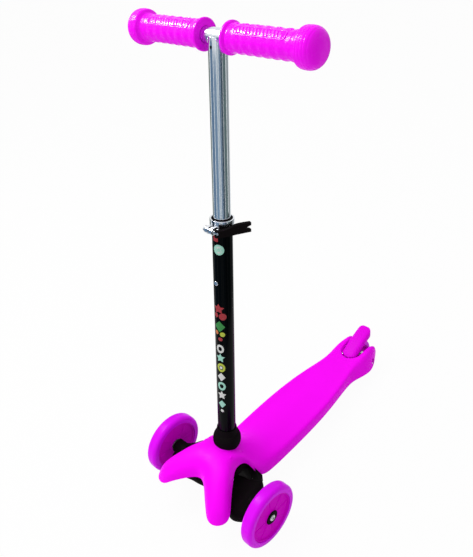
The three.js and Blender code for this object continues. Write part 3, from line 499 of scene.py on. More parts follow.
# For each finish: its slot, what makes it, its colour, its roughness and its own values
FINISHES = {
    "deck_plastic": ("magenta_plastic", moulded, "deck", 0.42, {"specular": 0.035}),
    # The fender's finish is the deck's magenta plastic made darker: painted shade.
    "fender_plastic": ("magenta_plastic", moulded, "fender", 0.42, {"specular": 0.035}),
    "grip_rubber": ("grip_rubber", moulded, "grip", 0.24, {"specular": 0.12, "grain": 1500}),
    # The relief's raised frame and bars are real; its paler pink is painted highlight.
    "grip_panel": ("grip_rubber", moulded, "grip_relief", 0.22, {"specular": 0.25, "grain": 1500}),
    "tyre_urethane": ("violet_tyre", moulded, "tyre", 0.3, {"specular": 0.05, "vary": 0.08}),
    "core_plastic": ("magenta_core", moulded, "core", 0.38, {"specular": 0.008}),
    "black_plastic": ("black_plastic", moulded, "black_plastic", 0.5, {"specular": 0.01, "grain": 1400}),
    "black_paint": ("black_tube", moulded, "black_paint", 0.16,
                    {"specular": 0.05, "grain": 500, "depth": 0.00001}),
    "chrome": ("chrome", worked_metal, "chrome", 0.17, {"stretch": (520, 520, 3), "turned": STEM_TURN}),
    "clamp_metal": ("clamp_metal", worked_metal, "clamp", 0.2, {"stretch": (60, 60, 700), "turned": STEM_TURN}),
    # Near-black, low-gloss finish of the rear axle's bolt and nut: painted shade for the shadow in the fork arm's
    # recess.
    "dark_zinc": ("zinc_steel", moulded, "dark_zinc", 0.6, {"specular": 0.02, "grain": 2200}),
    "zinc": ("zinc_steel", worked_metal, "zinc", 0.32, {"stretch": (220, 220, 220)}),
    "bearing_steel": ("bearing_steel", worked_metal, "steel", 0.22, {"stretch": (40, 700, 700)}),
    "spring_steel": ("spring_steel", worked_metal, "steel", 0.35, {"stretch": (500, 500, 500)}),
    "pale_bush": ("pale_bush", moulded, "bush", 0.5, {}),
    **{f"print_{name}": ("black_tube", moulded, value, 0.35, {"grain": 600})
       for name, value in PRINT_COLOURS.items()},
}


def finish_material(finish):
    """The finish of that name, made when first asked for. The frame's own materials have the plain names."""
    name = f"finish_{finish}"
    _, make, colour, roughness, own = FINISHES[finish]
    if isinstance(colour, str):
        colour = getattr(colours(), colour)
    return bpy.data.materials.get(name) or make(name, colour, roughness, **own)


# Properties


def length(name, description, default):
    return bpy.props.FloatProperty(name=name, description=description, default=default, min=0, unit="LENGTH",
                                   precision=5)


def colour(name, description, default):
    return bpy.props.FloatVectorProperty(name=name, description=description, default=default, size=3, min=0,
                                         max=1, subtype="COLOR")


class ScooterSizes(bpy.types.PropertyGroup):
    deck_wall: length("Deck wall", "Thickness of the moulded deck", 0.0035)
    deck_half_width: length("Deck half width", "Half the deck's width at its widest", 0.058)
    deck_top: length("Deck top", "Height of the deck's flat top", 0.060)
    nose_reach: length("Nose reach", "How far the nose's fingers reach ahead of the axle", 0.080)
    arm_inner: length("Rear arm inner", "Half the slot that the rear wheel runs in", 0.021)
    front_tyre: length("Front tyre radius", "Outer radius of a front tyre", 0.060)
    rear_tyre: length("Rear tyre radius", "Outer radius of the rear tyre", 0.037)
    grip_wave: length("Grip wave", "Height of the shallow waves along a grip", 0.00045)
    stud_height: length("Stud height", "How far the small studs stand out of a grip", 0.0006)


class ScooterColours(bpy.types.PropertyGroup):
    deck: colour("Deck", "Moulded plastic of the deck", (1.0, 0.002, 0.97))
    # The fender's colour is the deck's magenta darkened as painted shade.
    fender: colour("Fender", "Moulded plastic of the brake fender", (0.80, 0.001, 0.79))
    grip: colour("Grips", "Rubber of the grips", (1.0, 0.002, 1.0))
    # Paler pink than the grip: painted highlight on the raised frame and bars.
    grip_relief: colour("Grip relief", "Raised frame and bars on the grips", (1.0, 0.05, 0.98))
    tyre: colour("Tyres", "Cast urethane of the tyres", (0.76, 0.004, 0.93))
    core: colour("Wheel cores", "Plastic of the wheel cores", (0.72, 0.0008, 0.66))
    black_plastic: colour("Black plastic", "Truck, housing, collar and lever", (0.0065, 0.005, 0.0056))
    black_paint: colour("Black paint", "Paint of the lower tube", (0.0006, 0.0012, 0.0016))
    chrome: colour("Chrome", "Plating of the T-bar", (0.72, 0.76, 0.80))
    clamp: colour("Clamp", "Polished metal of the clamp", (0.78, 0.80, 0.84))
    zinc: colour("Zinc", "Plated bolts, nuts and washers", (0.60, 0.61, 0.62))
    # Near black as painted shade for the shadow in the fork arm's recess.
    dark_zinc: colour("Dark bolts", "Black plated bolt and nut of the rear axle", (0.03, 0.025, 0.03))
    steel: colour("Steel", "Bearings and springs", (0.55, 0.56, 0.58))
    bush: colour("Bush", "Pale plastic bush on the kingpin", (0.76, 0.73, 0.66))
    floor: colour("Floor", "The floor that the scooter stands on", (0.82, 0.82, 0.82))


# Deck

# Rows of the deck's cage from its middle or inner edge outwards. x is a share of the half width, or of half the
# rear slot on the fork, y of the nose's reach, the wheel base or the rear tyre, and z of the deck's height.
DECK_COLUMNS = 5
NOSE_ROWS = [
    [(0.98, -1.02, 1.17), (1.18, -1.04, 1.15), (1.35, -0.99, 1.15), (1.47, -0.88, 1.15), (1.52, -0.74, 1.17)],
    [(0.82, -0.93, 1.29), (0.97, -0.98, 1.52), (1.24, -0.88, 1.60), (1.44, -0.71, 1.52), (1.44, -0.60, 1.29)],
    [(0.52, -0.74, 1.42), (0.57, -0.70, 1.77), (0.85, -0.54, 1.92), (1.11, -0.38, 1.84), (1.16, -0.36, 1.42)],
    [(0.2, -0.53, 1.50), (0.24, -0.50, 1.93), (0.57, -0.26, 2.09), (0.86, -0.10, 2.07), (0.9, -0.08, 1.59)],
    [(0, -0.47, 1.51), (0, -0.43, 2.01), (0.32, -0.09, 2.20), (0.66, 0.11, 2.09), (0.7, 0.13, 1.7)],
    [(0, 0.00, 2.21), (0.36, 0.18, 2.17), (0.66, 0.33, 2.05), (0.70, 0.38, 1.67)],
    [(0, 0.45, 2.19), (0.46, 0.50, 1.97), (0.78, 0.55, 1.75), (0.80, 0.53, 1.5)],
    [(0, 0.90, 1.82), (0.50, 0.82, 1.42), (0.94, 0.75, 1.09), (0.97, 0.70, 0.68)],
    [(0, 1.32, 1.18), (0.66, 1.26, 1.01), (0.95, 1.20, 1.05), (1.00, 1.20, 0.633)],
]
PLATE_ROWS = [
    [(0, 0.343, 0.99), (0.8, 0.343, 1), (0.99, 0.343, 1.05), (1.01, 0.343, 0.633)],
    [(0, 0.536, 0.99), (0.8, 0.536, 1), (0.99, 0.536, 1.05), (0.99, 0.536, 0.633)],
    [(0, 0.686, 0.99), (0.7, 0.686, 1), (0.87, 0.686, 1.05), (0.86, 0.686, 0.633)],
    [(0, 0.793, 0.99), (0.52, 0.803, 1), (0.69, 0.809, 1.05), (0.72, 0.809, 0.62)],
    [(0, 0.857, 0.99), (0.46, 0.862, 1.03), (0.62, 0.868, 1.08), (0.84, 0.868, 0.58)],
]
FORK_ROWS = [
    [(0, -1.31, 0.66), (0, -1.31, 1.01), (1.22, -1.19, 1.06), (1.8, -1.06, 1.1), (2.49, -0.99, 0.52)],
    [(0.91, -1.12, 0.6), (0.91, -1.12, 1.05), (1.44, -0.79, 1.1), (1.88, -0.45, 1.12), (2.43, -0.45, 0.48)],
    [(1, -0.45, 0.48), (1, -0.45, 1.08), (1.38, -0.18, 1.14), (1.77, 0.15, 1.12), (2.1, 0.09, 0.46)],
    [(1, 0.35, 0.46), (1.02, 0.42, 1.1), (1.33, 0.56, 1.14), (1.6, 0.65, 1.1), (1.69, 0.56, 0.46)],
    [(1.05, 0.68, 0.48), (1.13, 0.84, 0.64), (1.27, 0.95, 0.66), (1.44, 0.87, 0.64), (1.49, 0.76, 0.48)],
]
RIB_PLACES = (120, 220, 320)
SPINE = (84, 404)
RIB_LOW, RIB_THICK = 43, 2.2
HOUSING_BOSSES = [(29, 10), (29, 39)]
BOSS_LOW = 88.3
AXLE_RECESS, RECESS_FLOOR = 7.2, 29


def deck_cage():
    """Half of the deck's cage, in metres, mirrored: a grid whose rows run from the nose to the fork's tips."""
    s = sizes()
    wheel_base = REAR_WHEEL.y - FRONT_AXLE_Y
    rows = []
    for shares, unit_x, start_y, unit_y in (
        (NOSE_ROWS, s.deck_half_width, 0, s.nose_reach),
        (PLATE_ROWS, s.deck_half_width, 0, wheel_base),
        (FORK_ROWS, s.arm_inner, wheel_base, s.rear_tyre),
    ):
        for row in shares:
            points = [Vector((x * unit_x, FRONT_AXLE_Y + start_y + y * unit_y, z * s.deck_top)) for x, y, z in row]
            rows.append([None] * (DECK_COLUMNS - len(points)) + points)
    bm = bmesh.new()
    bmesh.ops.create_grid(bm, x_segments=DECK_COLUMNS - 1, y_segments=len(rows) - 1, size=1)
    unused = []
    for vert in bm.verts:
        column = round((vert.co.x + 1) / 2 * (DECK_COLUMNS - 1))
        point = rows[round((vert.co.y + 1) / 2 * (len(rows) - 1))][column]
        if point is None:
            unused.append(vert)
        else:
            vert.co = point
    bmesh.ops.delete(bm, geom=unused, context="VERTS")
    bmesh.ops.mirror(bm, geom=everything(bm), matrix=Matrix.Identity(4), axis="X", merge_dist=WELD)
    bmesh.ops.recalc_face_normals(bm, faces=bm.faces)
    if sum(face.normal.z * face.calc_area() for face in bm.faces) < 0:
        bmesh.ops.reverse_faces(bm, faces=bm.faces)
    return bm


def deck_skin():
    """The smooth wall of the deck."""
    made = loose_object("skin", deck_cage())
    smooth = made.modifiers.new("smooth", "SUBSURF")
    smooth.levels = smooth.render_levels = 3
    wall = made.modifiers.new("wall", "SOLIDIFY")
    wall.thickness = sizes().deck_wall
    wall.offset = -1
    wall.use_even_offset = True
    wall.thickness_clamp = 1
    return evaluated(made)


def under_skin(tree, x, y, fallback):
    """Height in the middle of the deck's wall over a place, found from below."""
    hit = tree.ray_cast(Vector((x, y, -0.01)), Vector((0, 0, 1)))[0]
    return (hit.z if hit else fallback) + sizes().deck_wall / 2


def rib(tree, start, end, steps=24):
    """An upright rib under the deck from start to end (x, y), in metres, whose top follows the wall."""
    low = RIB_LOW * MM
    bm = bmesh.new()
    bmesh.ops.create_grid(bm, x_segments=steps, y_segments=1, size=1)
    for vert in bm.verts:
        share = (vert.co.x + 1) / 2
        x = start[0] + (end[0] - start[0]) * share
        y = start[1] + (end[1] - start[1]) * share
        vert.co = (x, y, low if vert.co.y < 0 else under_skin(tree, x, y, low + 0.01))
    bmesh.ops.solidify(bm, geom=everything(bm), thickness=RIB_THICK * MM)
    bmesh.ops.recalc_face_normals(bm, faces=bm.faces)
    return bm


def deck_shell():
    skin = deck_skin()
    tree = BVHTree.FromBMesh(skin)
    parts = []
    for y in RIB_PLACES:
        place = FRONT_AXLE_Y + y * MM
        side = tree.ray_cast(Vector((0.2, place, RIB_LOW * MM + RIB_THICK * MM)), Vector((-1, 0, 0)))[0]
        reach = side.x - sizes().deck_wall / 2
        parts.append(rib(tree, (-reach, place), (reach, place)))
    parts.append(rib(tree, *[(0, FRONT_AXLE_Y + y * MM) for y in SPINE], steps=60))
    cuts = [rod(LOWER_OUTER + 0.6, -60, 30, 0, 48, scaled(STEM)), rod(AXLE, -60, 60, 0, 32, scaled(REAR))]
    for sign in SIDES.values():
        for x, y in HOUSING_BOSSES:
            top = under_skin(tree, sign * x * MM, FRONT_AXLE_Y + y * MM, 0.11) / MM
            parts.append(rod(5, BOSS_LOW, top, 0.3, 32, scaled(DRAWING @ at(sign * x * MM, y * MM))))
        wheel = scaled(Matrix.Translation(REAR_WHEEL) @ along("X", sign))
        pin = scaled(Matrix.Translation(BRAKE_PIN) @ along("X", sign))
        parts += [ring(AXLE, 10, 22, 31, 0.5, 40, wheel), ring(AXLE_RECESS, 9.5, RECESS_FLOOR, 39.5, 0.2, 40, wheel),
                  ring(2.3, 5, 18.5, 25, 0.3, 32, pin)]
        cuts.append(rod(AXLE_RECESS, RECESS_FLOOR, 60, 0, 48, wheel))
    return together(carve(skin, *cuts), *parts)


class SCOOTER_OT_deck(bpy.types.Operator):
    """Moulds the deck: forked nose, hump, narrowing deck, rear fork, ribs and bosses"""

    bl_idname = "scooter.deck"
    bl_label = "Deck shell"

    def execute(self, context):
        finish_piece("deck_moulding", deck_shell(), "deck", "deck_plastic", ["deck_shell"], sharp=40)
        return {"FINISHED"}


# Steering

# Place on X, middle on Y and Z, and half sizes on Y and Z
TRUCK_SECTIONS = [
    (0, 3, 49, 25, 12), (24, 0, 49, 28, 13), (40, 0, 51, 31, 15), (52, -1, 52, 34, 15), (62, 0, 52, 39, 15),
    (76, 0.5, 53, 43.5, 16), (86, -5, 52.5, 35, 14.5), (96, -6, 52, 26, 13), (102, -4, 53.5, 20, 11.5),
]
# Low and high on X, low and high on Y
TRUCK_HOLLOWS = [(23, 40, -17, 21), (44, 60, -24, 22), (64, 76, -28, 30)]
SPRING_X, SPRING_Y = 27, 8
SPRING_LOW, SPRING_HIGH = 57.1, 81.9
# Height and Y of the wings' section, and X and Z of their outline from the front
WING_SECTION = [(-32, 50.5), (-32, 60.5), (-50, 60.5), (-73, 50.5)]
WING_OUTLINE = [(-59, 32), (59, 32), (59, 60), (50.5, 74), (-50.5, 74), (-59, 60)]


def truck_beam():
    half = smooth_line(TRUCK_SECTIONS, 4)
    whole = [(-x, *rest) for x, *rest in reversed(half[1:])] + half
    return loft([[(x, y, z) for y, z in superellipse((cy, cz), (hy, hz), 4, 40)] for x, cy, cz, hy, hz in whole])


def spring_pockets(low, high):
    return [rod(7.6, low, high, 0, 40, at(sign * SPRING_X, SPRING_Y)) for sign in SIDES.values()]


def front_truck():
    ends, axle_holes, hollows = [], [], []
    for sign in SIDES.values():
        axle = at(z=AXLE_HEIGHT) @ along("X", sign)
        ends.append(rod(14, 86, 112.4, 1.2, 56, axle))
        axle_holes.append(rod(AXLE, 79, 115, 0, 32, axle))
        for near, far, front, back in TRUCK_HOLLOWS:
            low, high = sorted((sign * near, sign * far))
            hollows.append(soft_block((low, front, 20), (high, back, 52.5), 2))
    return carve(
        join(truck_beam(), rod(18, -14, 12, 0.8, 56, KINGPIN_DRAWN), *ends),
        rod(8.3, -16, 14, 0, 40, KINGPIN_DRAWN),
        rod(15, -54, -14, 0, 48, KINGPIN_DRAWN),
        rod(19, 12, 54, 0, 56, KINGPIN_DRAWN),
        *axle_holes, *hollows, *spring_pockets(56.8, 90),
    )


def steering_housing():
    """The block over the truck with the stem's socket, the kingpin's boss, and a bulkhead with two wings."""
    wings = carve(placed(prism(WING_SECTION, -59, 59), along("X")), placed(prism(WING_OUTLINE, -70, -40), along("Y")),
                  operation="INTERSECT")
    body = join(
        soft_block((-37, 0, 71.5), (37, 47, 88), 1.5),
        soft_block((-37, 43.5, 44), (37, 56, 64), 1.5),
        block((-36.5, 43.7, 62), (36.5, 46.9, 73.5)),
        soft_block((-47, 42.5, 27), (47, 45.5, 70), 0.8),
        wings,
        rod(18.2, -64, -31, 0.6, 48, STEM_DRAWN),
        rod(17, 12.5, 36, 0.6, 48, KINGPIN_DRAWN),
    )
    return carve(
        body,
        rod(LOWER_OUTER + FIT, -48.3, -29, 0, 48, STEM_DRAWN),
        rod(5.3, 10, 38, 0, 32, KINGPIN_DRAWN),
        rod(19, -28, 12.5, 0, 48, KINGPIN_DRAWN),
        *spring_pockets(69.5, 82.2),
    )


class SCOOTER_OT_steering(bpy.types.Operator):
    """Makes the steering housing in the nose and the leaning truck under it"""

    bl_idname = "scooter.steering"
    bl_label = "Truck and housing"

    def execute(self, context):
        finish_piece("steering_block", steering_housing(), "deck", "black_plastic", ["steering_housing"], DRAWING,
                     bevel=0.4)
        finish_piece("truck_beam", front_truck(), "truck", "black_plastic", ["front_truck"], DRAWING)
        return {"FINISHED"}


class SCOOTER_OT_kingpin(bpy.types.Operator):
    """Makes the kingpin bolt with its bush, washer and nut"""

    bl_idname = "scooter.kingpin"
    bl_label = "Kingpin"

    def execute(self, context):
        bolt_radius, hole, across, nut_tall, washer = 5, 5.3, 16, 6.5, 2.6
        nut_low = -14 - FIT - washer - FIT - nut_tall
        bolt = together(rod(bolt_radius, nut_low - 2, 38.3, 0.5, 48), hexagon(across, 36.3, 42.8))
        nut = carve(hexagon(across, nut_low, nut_low + nut_tall), rod(hole, nut_low - 2, nut_low + 9, 0, 48))
        for name, bm, body, finish, node in (
            ("screw", bolt, "deck", "zinc", "bolt"),
            ("locknut", nut, "deck", "zinc", "nut"),
            ("disc", ring(hole, 13, -16.9, -14.3), "deck", "zinc", "washer"),
            ("sleeve", ring(hole, 8, -13.7, 11.7), "truck", "pale_bush", "bush"),
        ):
            finish_piece(f"kingpin_{name}", bm, body, finish, [f"kingpin_{node}"], KINGPIN)
        return {"FINISHED"}


class SCOOTER_OT_springs(bpy.types.Operator):
    """Winds the two centring springs between truck and housing"""

    bl_idname = "scooter.springs"
    bl_label = "Steering springs"

    def execute(self, context):
        wire = 1.1
        for side, sign in SIDES.items():
            bm = coil(5.4, wire, 4, SPRING_HIGH - SPRING_LOW - 2 * wire)
            x = sign * SPRING_X * MM
            place = DRAWING @ at(x, SPRING_Y * MM, (SPRING_LOW + wire) * MM)
            made = finish_piece(f"steering_coil_{side}", bm, "deck", "spring_steel", [f"steering_spring_{side}"],
                                place, rides=False)
            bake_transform(made)
        return {"FINISHED"}


# Wheels

BEARING_WIDTH = 7
BEARING_LOWS = (-9.5, 2.5)


def tyre(inner, outer, width, shoulder):
    half = width / 2
    profile = [(inner, -half + 0.6), (inner + 0.6, -half)]
    profile += arc_points((outer - shoulder, -half + shoulder), shoulder, -90, 0, 12)
    profile += arc_points((outer - shoulder, half - shoulder), shoulder, 0, 90, 12)
    profile += [(inner + 0.6, half), (inner, half - 0.6)]
    return lathe(profile, 128)


def wheel_core(rim_inner, rim_outer, web, ribs):
    rim = 10.4
    hub, hub_half = 15, 9.5
    bore, shoulder_bore, shoulder_half = 11.3, 9.5, 2.2
    profile = rounded([
        (bore, -hub_half, 0.3), (hub, -hub_half, 1.0), (hub, -web, 1.2), (rim_inner, -web, 1.2),
        (rim_inner, -rim, 0.5), (rim_outer, -rim, 0.3), (rim_outer, rim, 0.3), (rim_inner, rim, 0.5),
        (rim_inner, web, 1.2), (hub, web, 1.2), (hub, hub_half, 1.0), (bore, hub_half, 0.3),
        (bore, shoulder_half), (shoulder_bore, shoulder_half), (shoulder_bore, -shoulder_half),
        (bore, -shoulder_half),
    ])
    spokes = []
    for i in range(ribs):
        spoke = soft_block((hub - 1, -1, -web - 0.6), (rim_inner + 1, 1, web + 0.6), 0.3)
        spokes.append(placed(spoke, turn(TURN * i / ribs, "Z")))
    return together(lathe(profile, 96), *spokes)


def bearing(low):
    """A shielded ball bearing: outer race, inner race and a recessed shield between them."""
    high = low + BEARING_WIDTH
    shields = [ring(5.8, 9.6, z, z + 0.5, 0.1, 56) for z in (low + 0.5, high - 1.0)]
    return together(ring(9.4, 11, low, high, 0.3, 56), ring(AXLE, 6, low, high, 0.3, 48), *shields)


def axle_bolt(low, seat):
    """A button-headed axle bolt with a hexagonal socket in its head."""
    tall, socket, shank = 3.6, 3, 3.7
    head = [(0, low), (shank - 0.4, low), (shank, low + 0.4), (shank, seat), (6, seat), (6, seat + 0.5 * tall)]
    head += arc_points((3.6, seat + 0.4 * tall), 0.6 * tall, 8, 90, 6)
    body = lathe(head + [(0, seat + tall)], 56, closed=False)
    hole = bmesh.new()
    bmesh.ops.create_cone(hole, cap_ends=True, segments=6, radius1=socket, radius2=socket, depth=2 * tall)
    bmesh.ops.translate(hole, verts=hole.verts, vec=(0, 0, seat + 1.3 * tall))
    return carve(body, hole)


def make_wheel(name, body, place, tread, core, bearings):
    """A wheel's own pieces: its tread, hub, bearings and the spacer between them."""
    finish_piece(f"{name}_tread", tread, body, "tyre_urethane", [f"{name}_tyre"], place)
    finish_piece(f"{name}_hub", core, body, "core_plastic", [f"{name}_core"], place)
    for which, low in bearings:
        finish_piece(f"{name}_race_{which}", bearing(low), body, "bearing_steel", [f"{name}_bearing_{which}"], place)
    finish_piece(f"{name}_spacer", ring(AXLE, 6, -2.2, 2.2, 0.2, 40), body, "zinc", [f"{name}_sleeve"], place)


class SCOOTER_OT_front_wheels(bpy.types.Operator):
    """Makes both front wheels with their tyres, cores, bearings and axle bolts"""

    bl_idname = "scooter.front_wheels"
    bl_label = "Front wheels"

    def execute(self, context):
        for side, sign in SIDES.items():
            name = f"front_wheel_{side}"
            place = Matrix.Translation(FRONT_WHEEL[side]) @ along("X", sign)
            make_wheel(name, f"wheel_{side}", place, tyre(47.3, sizes().front_tyre / MM, 24, 7),
                       wheel_core(44, 47, 8, 8), zip(("inner", "outer"), BEARING_LOWS))
            cap = lathe(rounded([(6.6, 9.8, 0.2), (13.5, 9.8, 0.2), (13.5, 10.9, 0.6), (12.0, 11.8, 0.5),
                                 (8.2, 11.2, 0.6), (6.6, 11.2, 0.3)]), 72)
            shim = ring(AXLE, 6, -12.8, -9.8, 0.3, 40)
            finish_piece(f"{name}_cap", cap, "truck", "black_plastic", [f"{name}_dust_ring"], place)
            finish_piece(f"{name}_bolt", axle_bolt(-44.5, 9.8), "truck", "zinc", [f"{name}_axle_bolt"], place)
            finish_piece(f"{name}_shim", shim, "truck", "zinc", [f"{name}_washer"], place)
        return {"FINISHED"}


class SCOOTER_OT_rear_wheel(bpy.types.Operator):
    """Makes the rear wheel with its bearings, spacers, axle bolt and nut"""

    bl_idname = "scooter.rear_wheel"
    bl_label = "Rear wheel"

    def execute(self, context):
        make_wheel("rear_wheel", "wheel_rear", REAR, tyre(27, sizes().rear_tyre / MM, 25, 6),
                   wheel_core(23.5, 26.7, 7, 6), zip(("left", "right"), reversed(BEARING_LOWS)))
        for side, low, high in (("left", 9.8, 20.7), ("right", -20.7, -9.8)):
            finish_piece(f"rear_wheel_tube_{side}", ring(AXLE, 6, low, high, 0.3, 40), "deck", "zinc",
                         [f"rear_wheel_spacer_{side}"], REAR)
        nut = carve(hexagon(11, -32.9, -29.3, 0.6), rod(AXLE, -40, 0, 0, 40))
        # The rear axle's bolt and nut are near black: painted shade in the arm's recess.
        finish_piece("rear_axle_screw", axle_bolt(-36.5, 29.3), "deck", "dark_zinc", ["rear_axle_bolt"], REAR)
        finish_piece("rear_axle_locknut", nut, "deck", "dark_zinc", ["rear_axle_nut"], REAR)
        return {"FINISHED"}


# Brake

# Y and height of the fender's upper side, from the hinge to its tail
FENDER_LINE = [(408, 58), (418, 61), (426, 64.5), (440, 72), (462, 83), (485, 91.5), (500, 95.5), (512, 97)]
FENDER_HALF, FENDER_WALL, FENDER_DEPTH = 16.8, 3.5, 14


def side_prism(outline, half):
    """A prism across the scooter of an outline in Y and Z."""
    bm = placed(prism(outline, -half, half), turn(math.pi / 2, "X") @ Matrix.Scale(-1, 4, (0, 0, 1)))
    return placed(bm, turn(math.pi / 2, "Z"))


def fender_form(half, drop, depth, roundness):
    rings = []
    for y, z in smooth_line(FENDER_LINE, 4):
        section = superellipse((0, z - drop - depth / 2), (half, depth / 2), roundness, 48)
        rings.append([(x, y, height) for x, height in section])
    return loft(rings)


def brake_fender():
    nose_y, nose_length, tail_y, tail_round = 434, 14.5, 500.5, 13
    outline = [(FENDER_HALF * math.cos(a), nose_y + nose_length * math.sin(a))
               for a in [math.pi * (1 + i / 32) for i in range(33)]]
    outline += arc_points((FENDER_HALF - tail_round, tail_y - tail_round), tail_round, 0, 90, 12)
    outline += arc_points((tail_round - FENDER_HALF, tail_y - tail_round), tail_round, 90, 180, 12)
    tongue = carve(fender_form(FENDER_HALF, 0, 2 * FENDER_DEPTH, 4.5), prism(outline, 20, 130),
                   operation="INTERSECT")
    inside = fender_form(FENDER_HALF - FENDER_WALL + 1, FENDER_WALL, 4 * FENDER_DEPTH, 8)
    lower = [(y, z - FENDER_DEPTH) for y, z in smooth_line(FENDER_LINE, 4)]
    below = side_prism(lower + [(FENDER_LINE[-1][0], 0), (FENDER_LINE[0][0], 0)], 30)
    pin = at(0, 426.5, 56) @ along("X")
    barrels = []
    for sign in SIDES.values():
        low, high = sorted((sign * 5, sign * 10))
        barrels += [rod(3.6, low, high, 0.4, 32, pin), soft_block((low, 423.9, 56), (high, 429.1, 62.2), 0.4)]
    return carve(join(carve(tongue, inside, below), *barrels), rod(2.3, -20, 20, 0, 32, pin))


def brake_plate():
    line = smooth_line(FENDER_LINE[4:6], 6)
    drop, thick = 4.4, 3.2
    return side_prism([(y, z - drop) for y, z in line] + [(y, z - drop - thick) for y, z in reversed(line)], 10)


class SCOOTER_OT_brake(bpy.types.Operator):
    """Makes the sprung brake fender, its steel shoe, hinge pin and spring"""

    bl_idname = "scooter.brake"
    bl_label = "Brake"

    def execute(self, context):
        # The fender's darker magenta is painted shade.
        finish_piece("fender_tongue", brake_fender(), "brake", "fender_plastic", ["brake_fender"], DRAWING, bevel=0.6)
        finish_piece("brake_shoe", brake_plate(), "brake", "spring_steel", ["brake_plate"], DRAWING,
                     slot="bearing_steel", bevel=0.3)
        pin = Matrix.Translation(BRAKE_PIN) @ along("X")
        finish_piece("brake_hinge_pin", rod(2, -20, 20, 0.4, 40), "deck", "zinc", ["brake_pin"], pin)
        spring = placed(coil(3, 0.5, 3.5, 6.8), at(z=-3.4))
        finish_piece("brake_coil", spring, "deck", "spring_steel", ["brake_spring"], pin)
        return {"FINISHED"}


# Stem

BUTTON_PLACE = at(z=BUTTON_HEIGHT) @ along("Y")
PRINT_THICK = 0.12
PRINT_BEARING = 18
# Kind, height on the stem, place across, width, height and colour of each printed shape
PRINTS = [
    ("bar", 418, -4, 9, 13, "red"), ("disc", 398, 1, 18, 18, "mint"), ("ring", 398, 1, 12, 12, "white"),
    ("star", 290, -2, 21, 20, "red"), ("disc", 276, 5, 13, 13, "red"), ("disc", 277, -7, 8, 9, "red"),
    ("diamond", 256, -1, 20, 22, "green"), ("disc", 241, 4, 9, 9, "yellow"), ("disc", 243, -7, 7, 8, "orange"),
    ("disc", 231, 0, 8, 7, "red"), ("ring", 211, -1, 14, 17, "white"), ("star", 192, -1, 17, 19, "mint"),
    ("ring", 172, 0, 15, 18, "yellow"), ("disc", 172, 0, 5, 6, "white"), ("diamond", 152, 0, 15, 18, "white"),
    ("ring", 132, 0, 15, 18, "mint"), ("star", 112, 0, 17, 19, "white"), ("diamond", 92, 0, 14, 17, "mint"),
    ("disc", 77, 0, 6, 6, "white"),
]


def stem_collar():
    bore, radius = LOWER_OUTER + FIT, 26
    low, high = (math.degrees(math.asin(height / radius)) for height in (-19, 15))
    ball = arc_points((0, 0), radius, low, high, 20)
    neck = rounded([ball[-1], (bore + 3.6, 15.8, 1), (bore + 2.4, 22, 2), (bore + 1.5, 28, 0.8), (bore, 28)],
                   closed=False)
    return lathe([(bore, -19)] + ball + neck[1:], 96)


def lower_tube():
    wall = lathe(rounded([(LOWER_BORE, -48), (LOWER_OUTER, -48), (LOWER_OUTER, 446, 0.4), (BUSH_SEAT, 446),
                          (BUSH_SEAT, 425), (LOWER_BORE, 425)]), 96)
    return carve(wall, rod(4.2, UPPER_BORE, LOWER_OUTER + 2, 0, 40, BUTTON_PLACE))


def tube_bush():
    bore, seat = UPPER_OUTER + FIT, BUSH_SEAT - FIT
    return lathe(rounded([(bore, 425.3), (seat, 425.3), (seat, 446.3), (seat + 1.2, 446.3, 0.2),
                          (seat + 0.9, 447.6, 0.6), (bore, 447.6, 0.4)]), 96)


def height_button():
    foot, proud, radius = UPPER_OUTER + 0.6, LOWER_OUTER + 1.4, 3.9
    return lathe(rounded([(0, foot), (radius, foot), (radius, proud, 0.9), (0, proud)], closed=False), 48,
                 closed=False)


def print_outline(kind):
    """An outline about a unit wide and high."""
    if kind in ("disc", "ring"):
        return arc_points((0, 0), 0.5, 0, 350, 35)
    if kind == "diamond":
        return rounded([(0.5, 0, 0.06), (0, 0.5, 0.06), (-0.5, 0, 0.06), (0, -0.5, 0.06)], steps=3)
    if kind == "bar":
        return rounded([(0.5, 0.5, 0.1), (-0.5, 0.5, 0.1), (-0.5, -0.5, 0.1), (0.5, -0.5, 0.1)], steps=3)
    spread = [(0.5 if i % 2 == 0 else 0.26, TURN * (i / 10 + 0.25)) for i in range(10)]
    return [(r * math.cos(a), r * math.sin(a)) for r, a in spread]


def print_patch(kind, height, across, wide, tall):
    """A thin printed shape wrapped on the tube: drawn flat, sliced fine and bent round the tube."""
    outlines = [[(x * wide * size + across, y * tall * size + height) for x, y in print_outline(kind)]
                for size in ((1, 0.5) if kind == "ring" else (1,))]
    bm = sliced(flat(*outlines), [across + i * 2 for i in range(-6, 7)])
    top = set(raised(bm, 0))
    for vert in bm.verts:
        bearing_angle = vert.co.x / LOWER_OUTER + math.radians(PRINT_BEARING)
        radius = LOWER_OUTER + (PRINT_THICK if vert in top else -FIT)
        vert.co = (radius * math.sin(bearing_angle), -radius * math.cos(bearing_angle), vert.co.y)
    bmesh.ops.recalc_face_normals(bm, faces=bm.faces)
    return bm


class SCOOTER_OT_stem(bpy.types.Operator):
    """Makes the collar, the painted lower tube with its printed shapes, the bush and the height button"""

    bl_idname = "scooter.stem"
    bl_label = "Stem"

    def execute(self, context):
        finish_piece("collar_ball", stem_collar(), "deck", "black_plastic", ["stem_collar"], STEM)
        finish_piece("painted_tube", lower_tube(), "deck", "black_paint", ["lower_tube"], STEM)
        finish_piece("guide_bush", tube_bush(), "deck", "black_plastic", ["tube_bush"], STEM)
        finish_piece("spring_button", height_button(), "button", "clamp_metal", ["height_button"],
                     on_stem(BUTTON_HEIGHT, along("Y")))
        for i, (*shape, ink) in enumerate(PRINTS):
            finish_piece(f"tube_print_{i + 1:02d}", print_patch(*shape), "deck", f"print_{ink}", place=STEM)
        return {"FINISHED"}


# Clamp, drawn round the stem's middle with its bolt across at the front

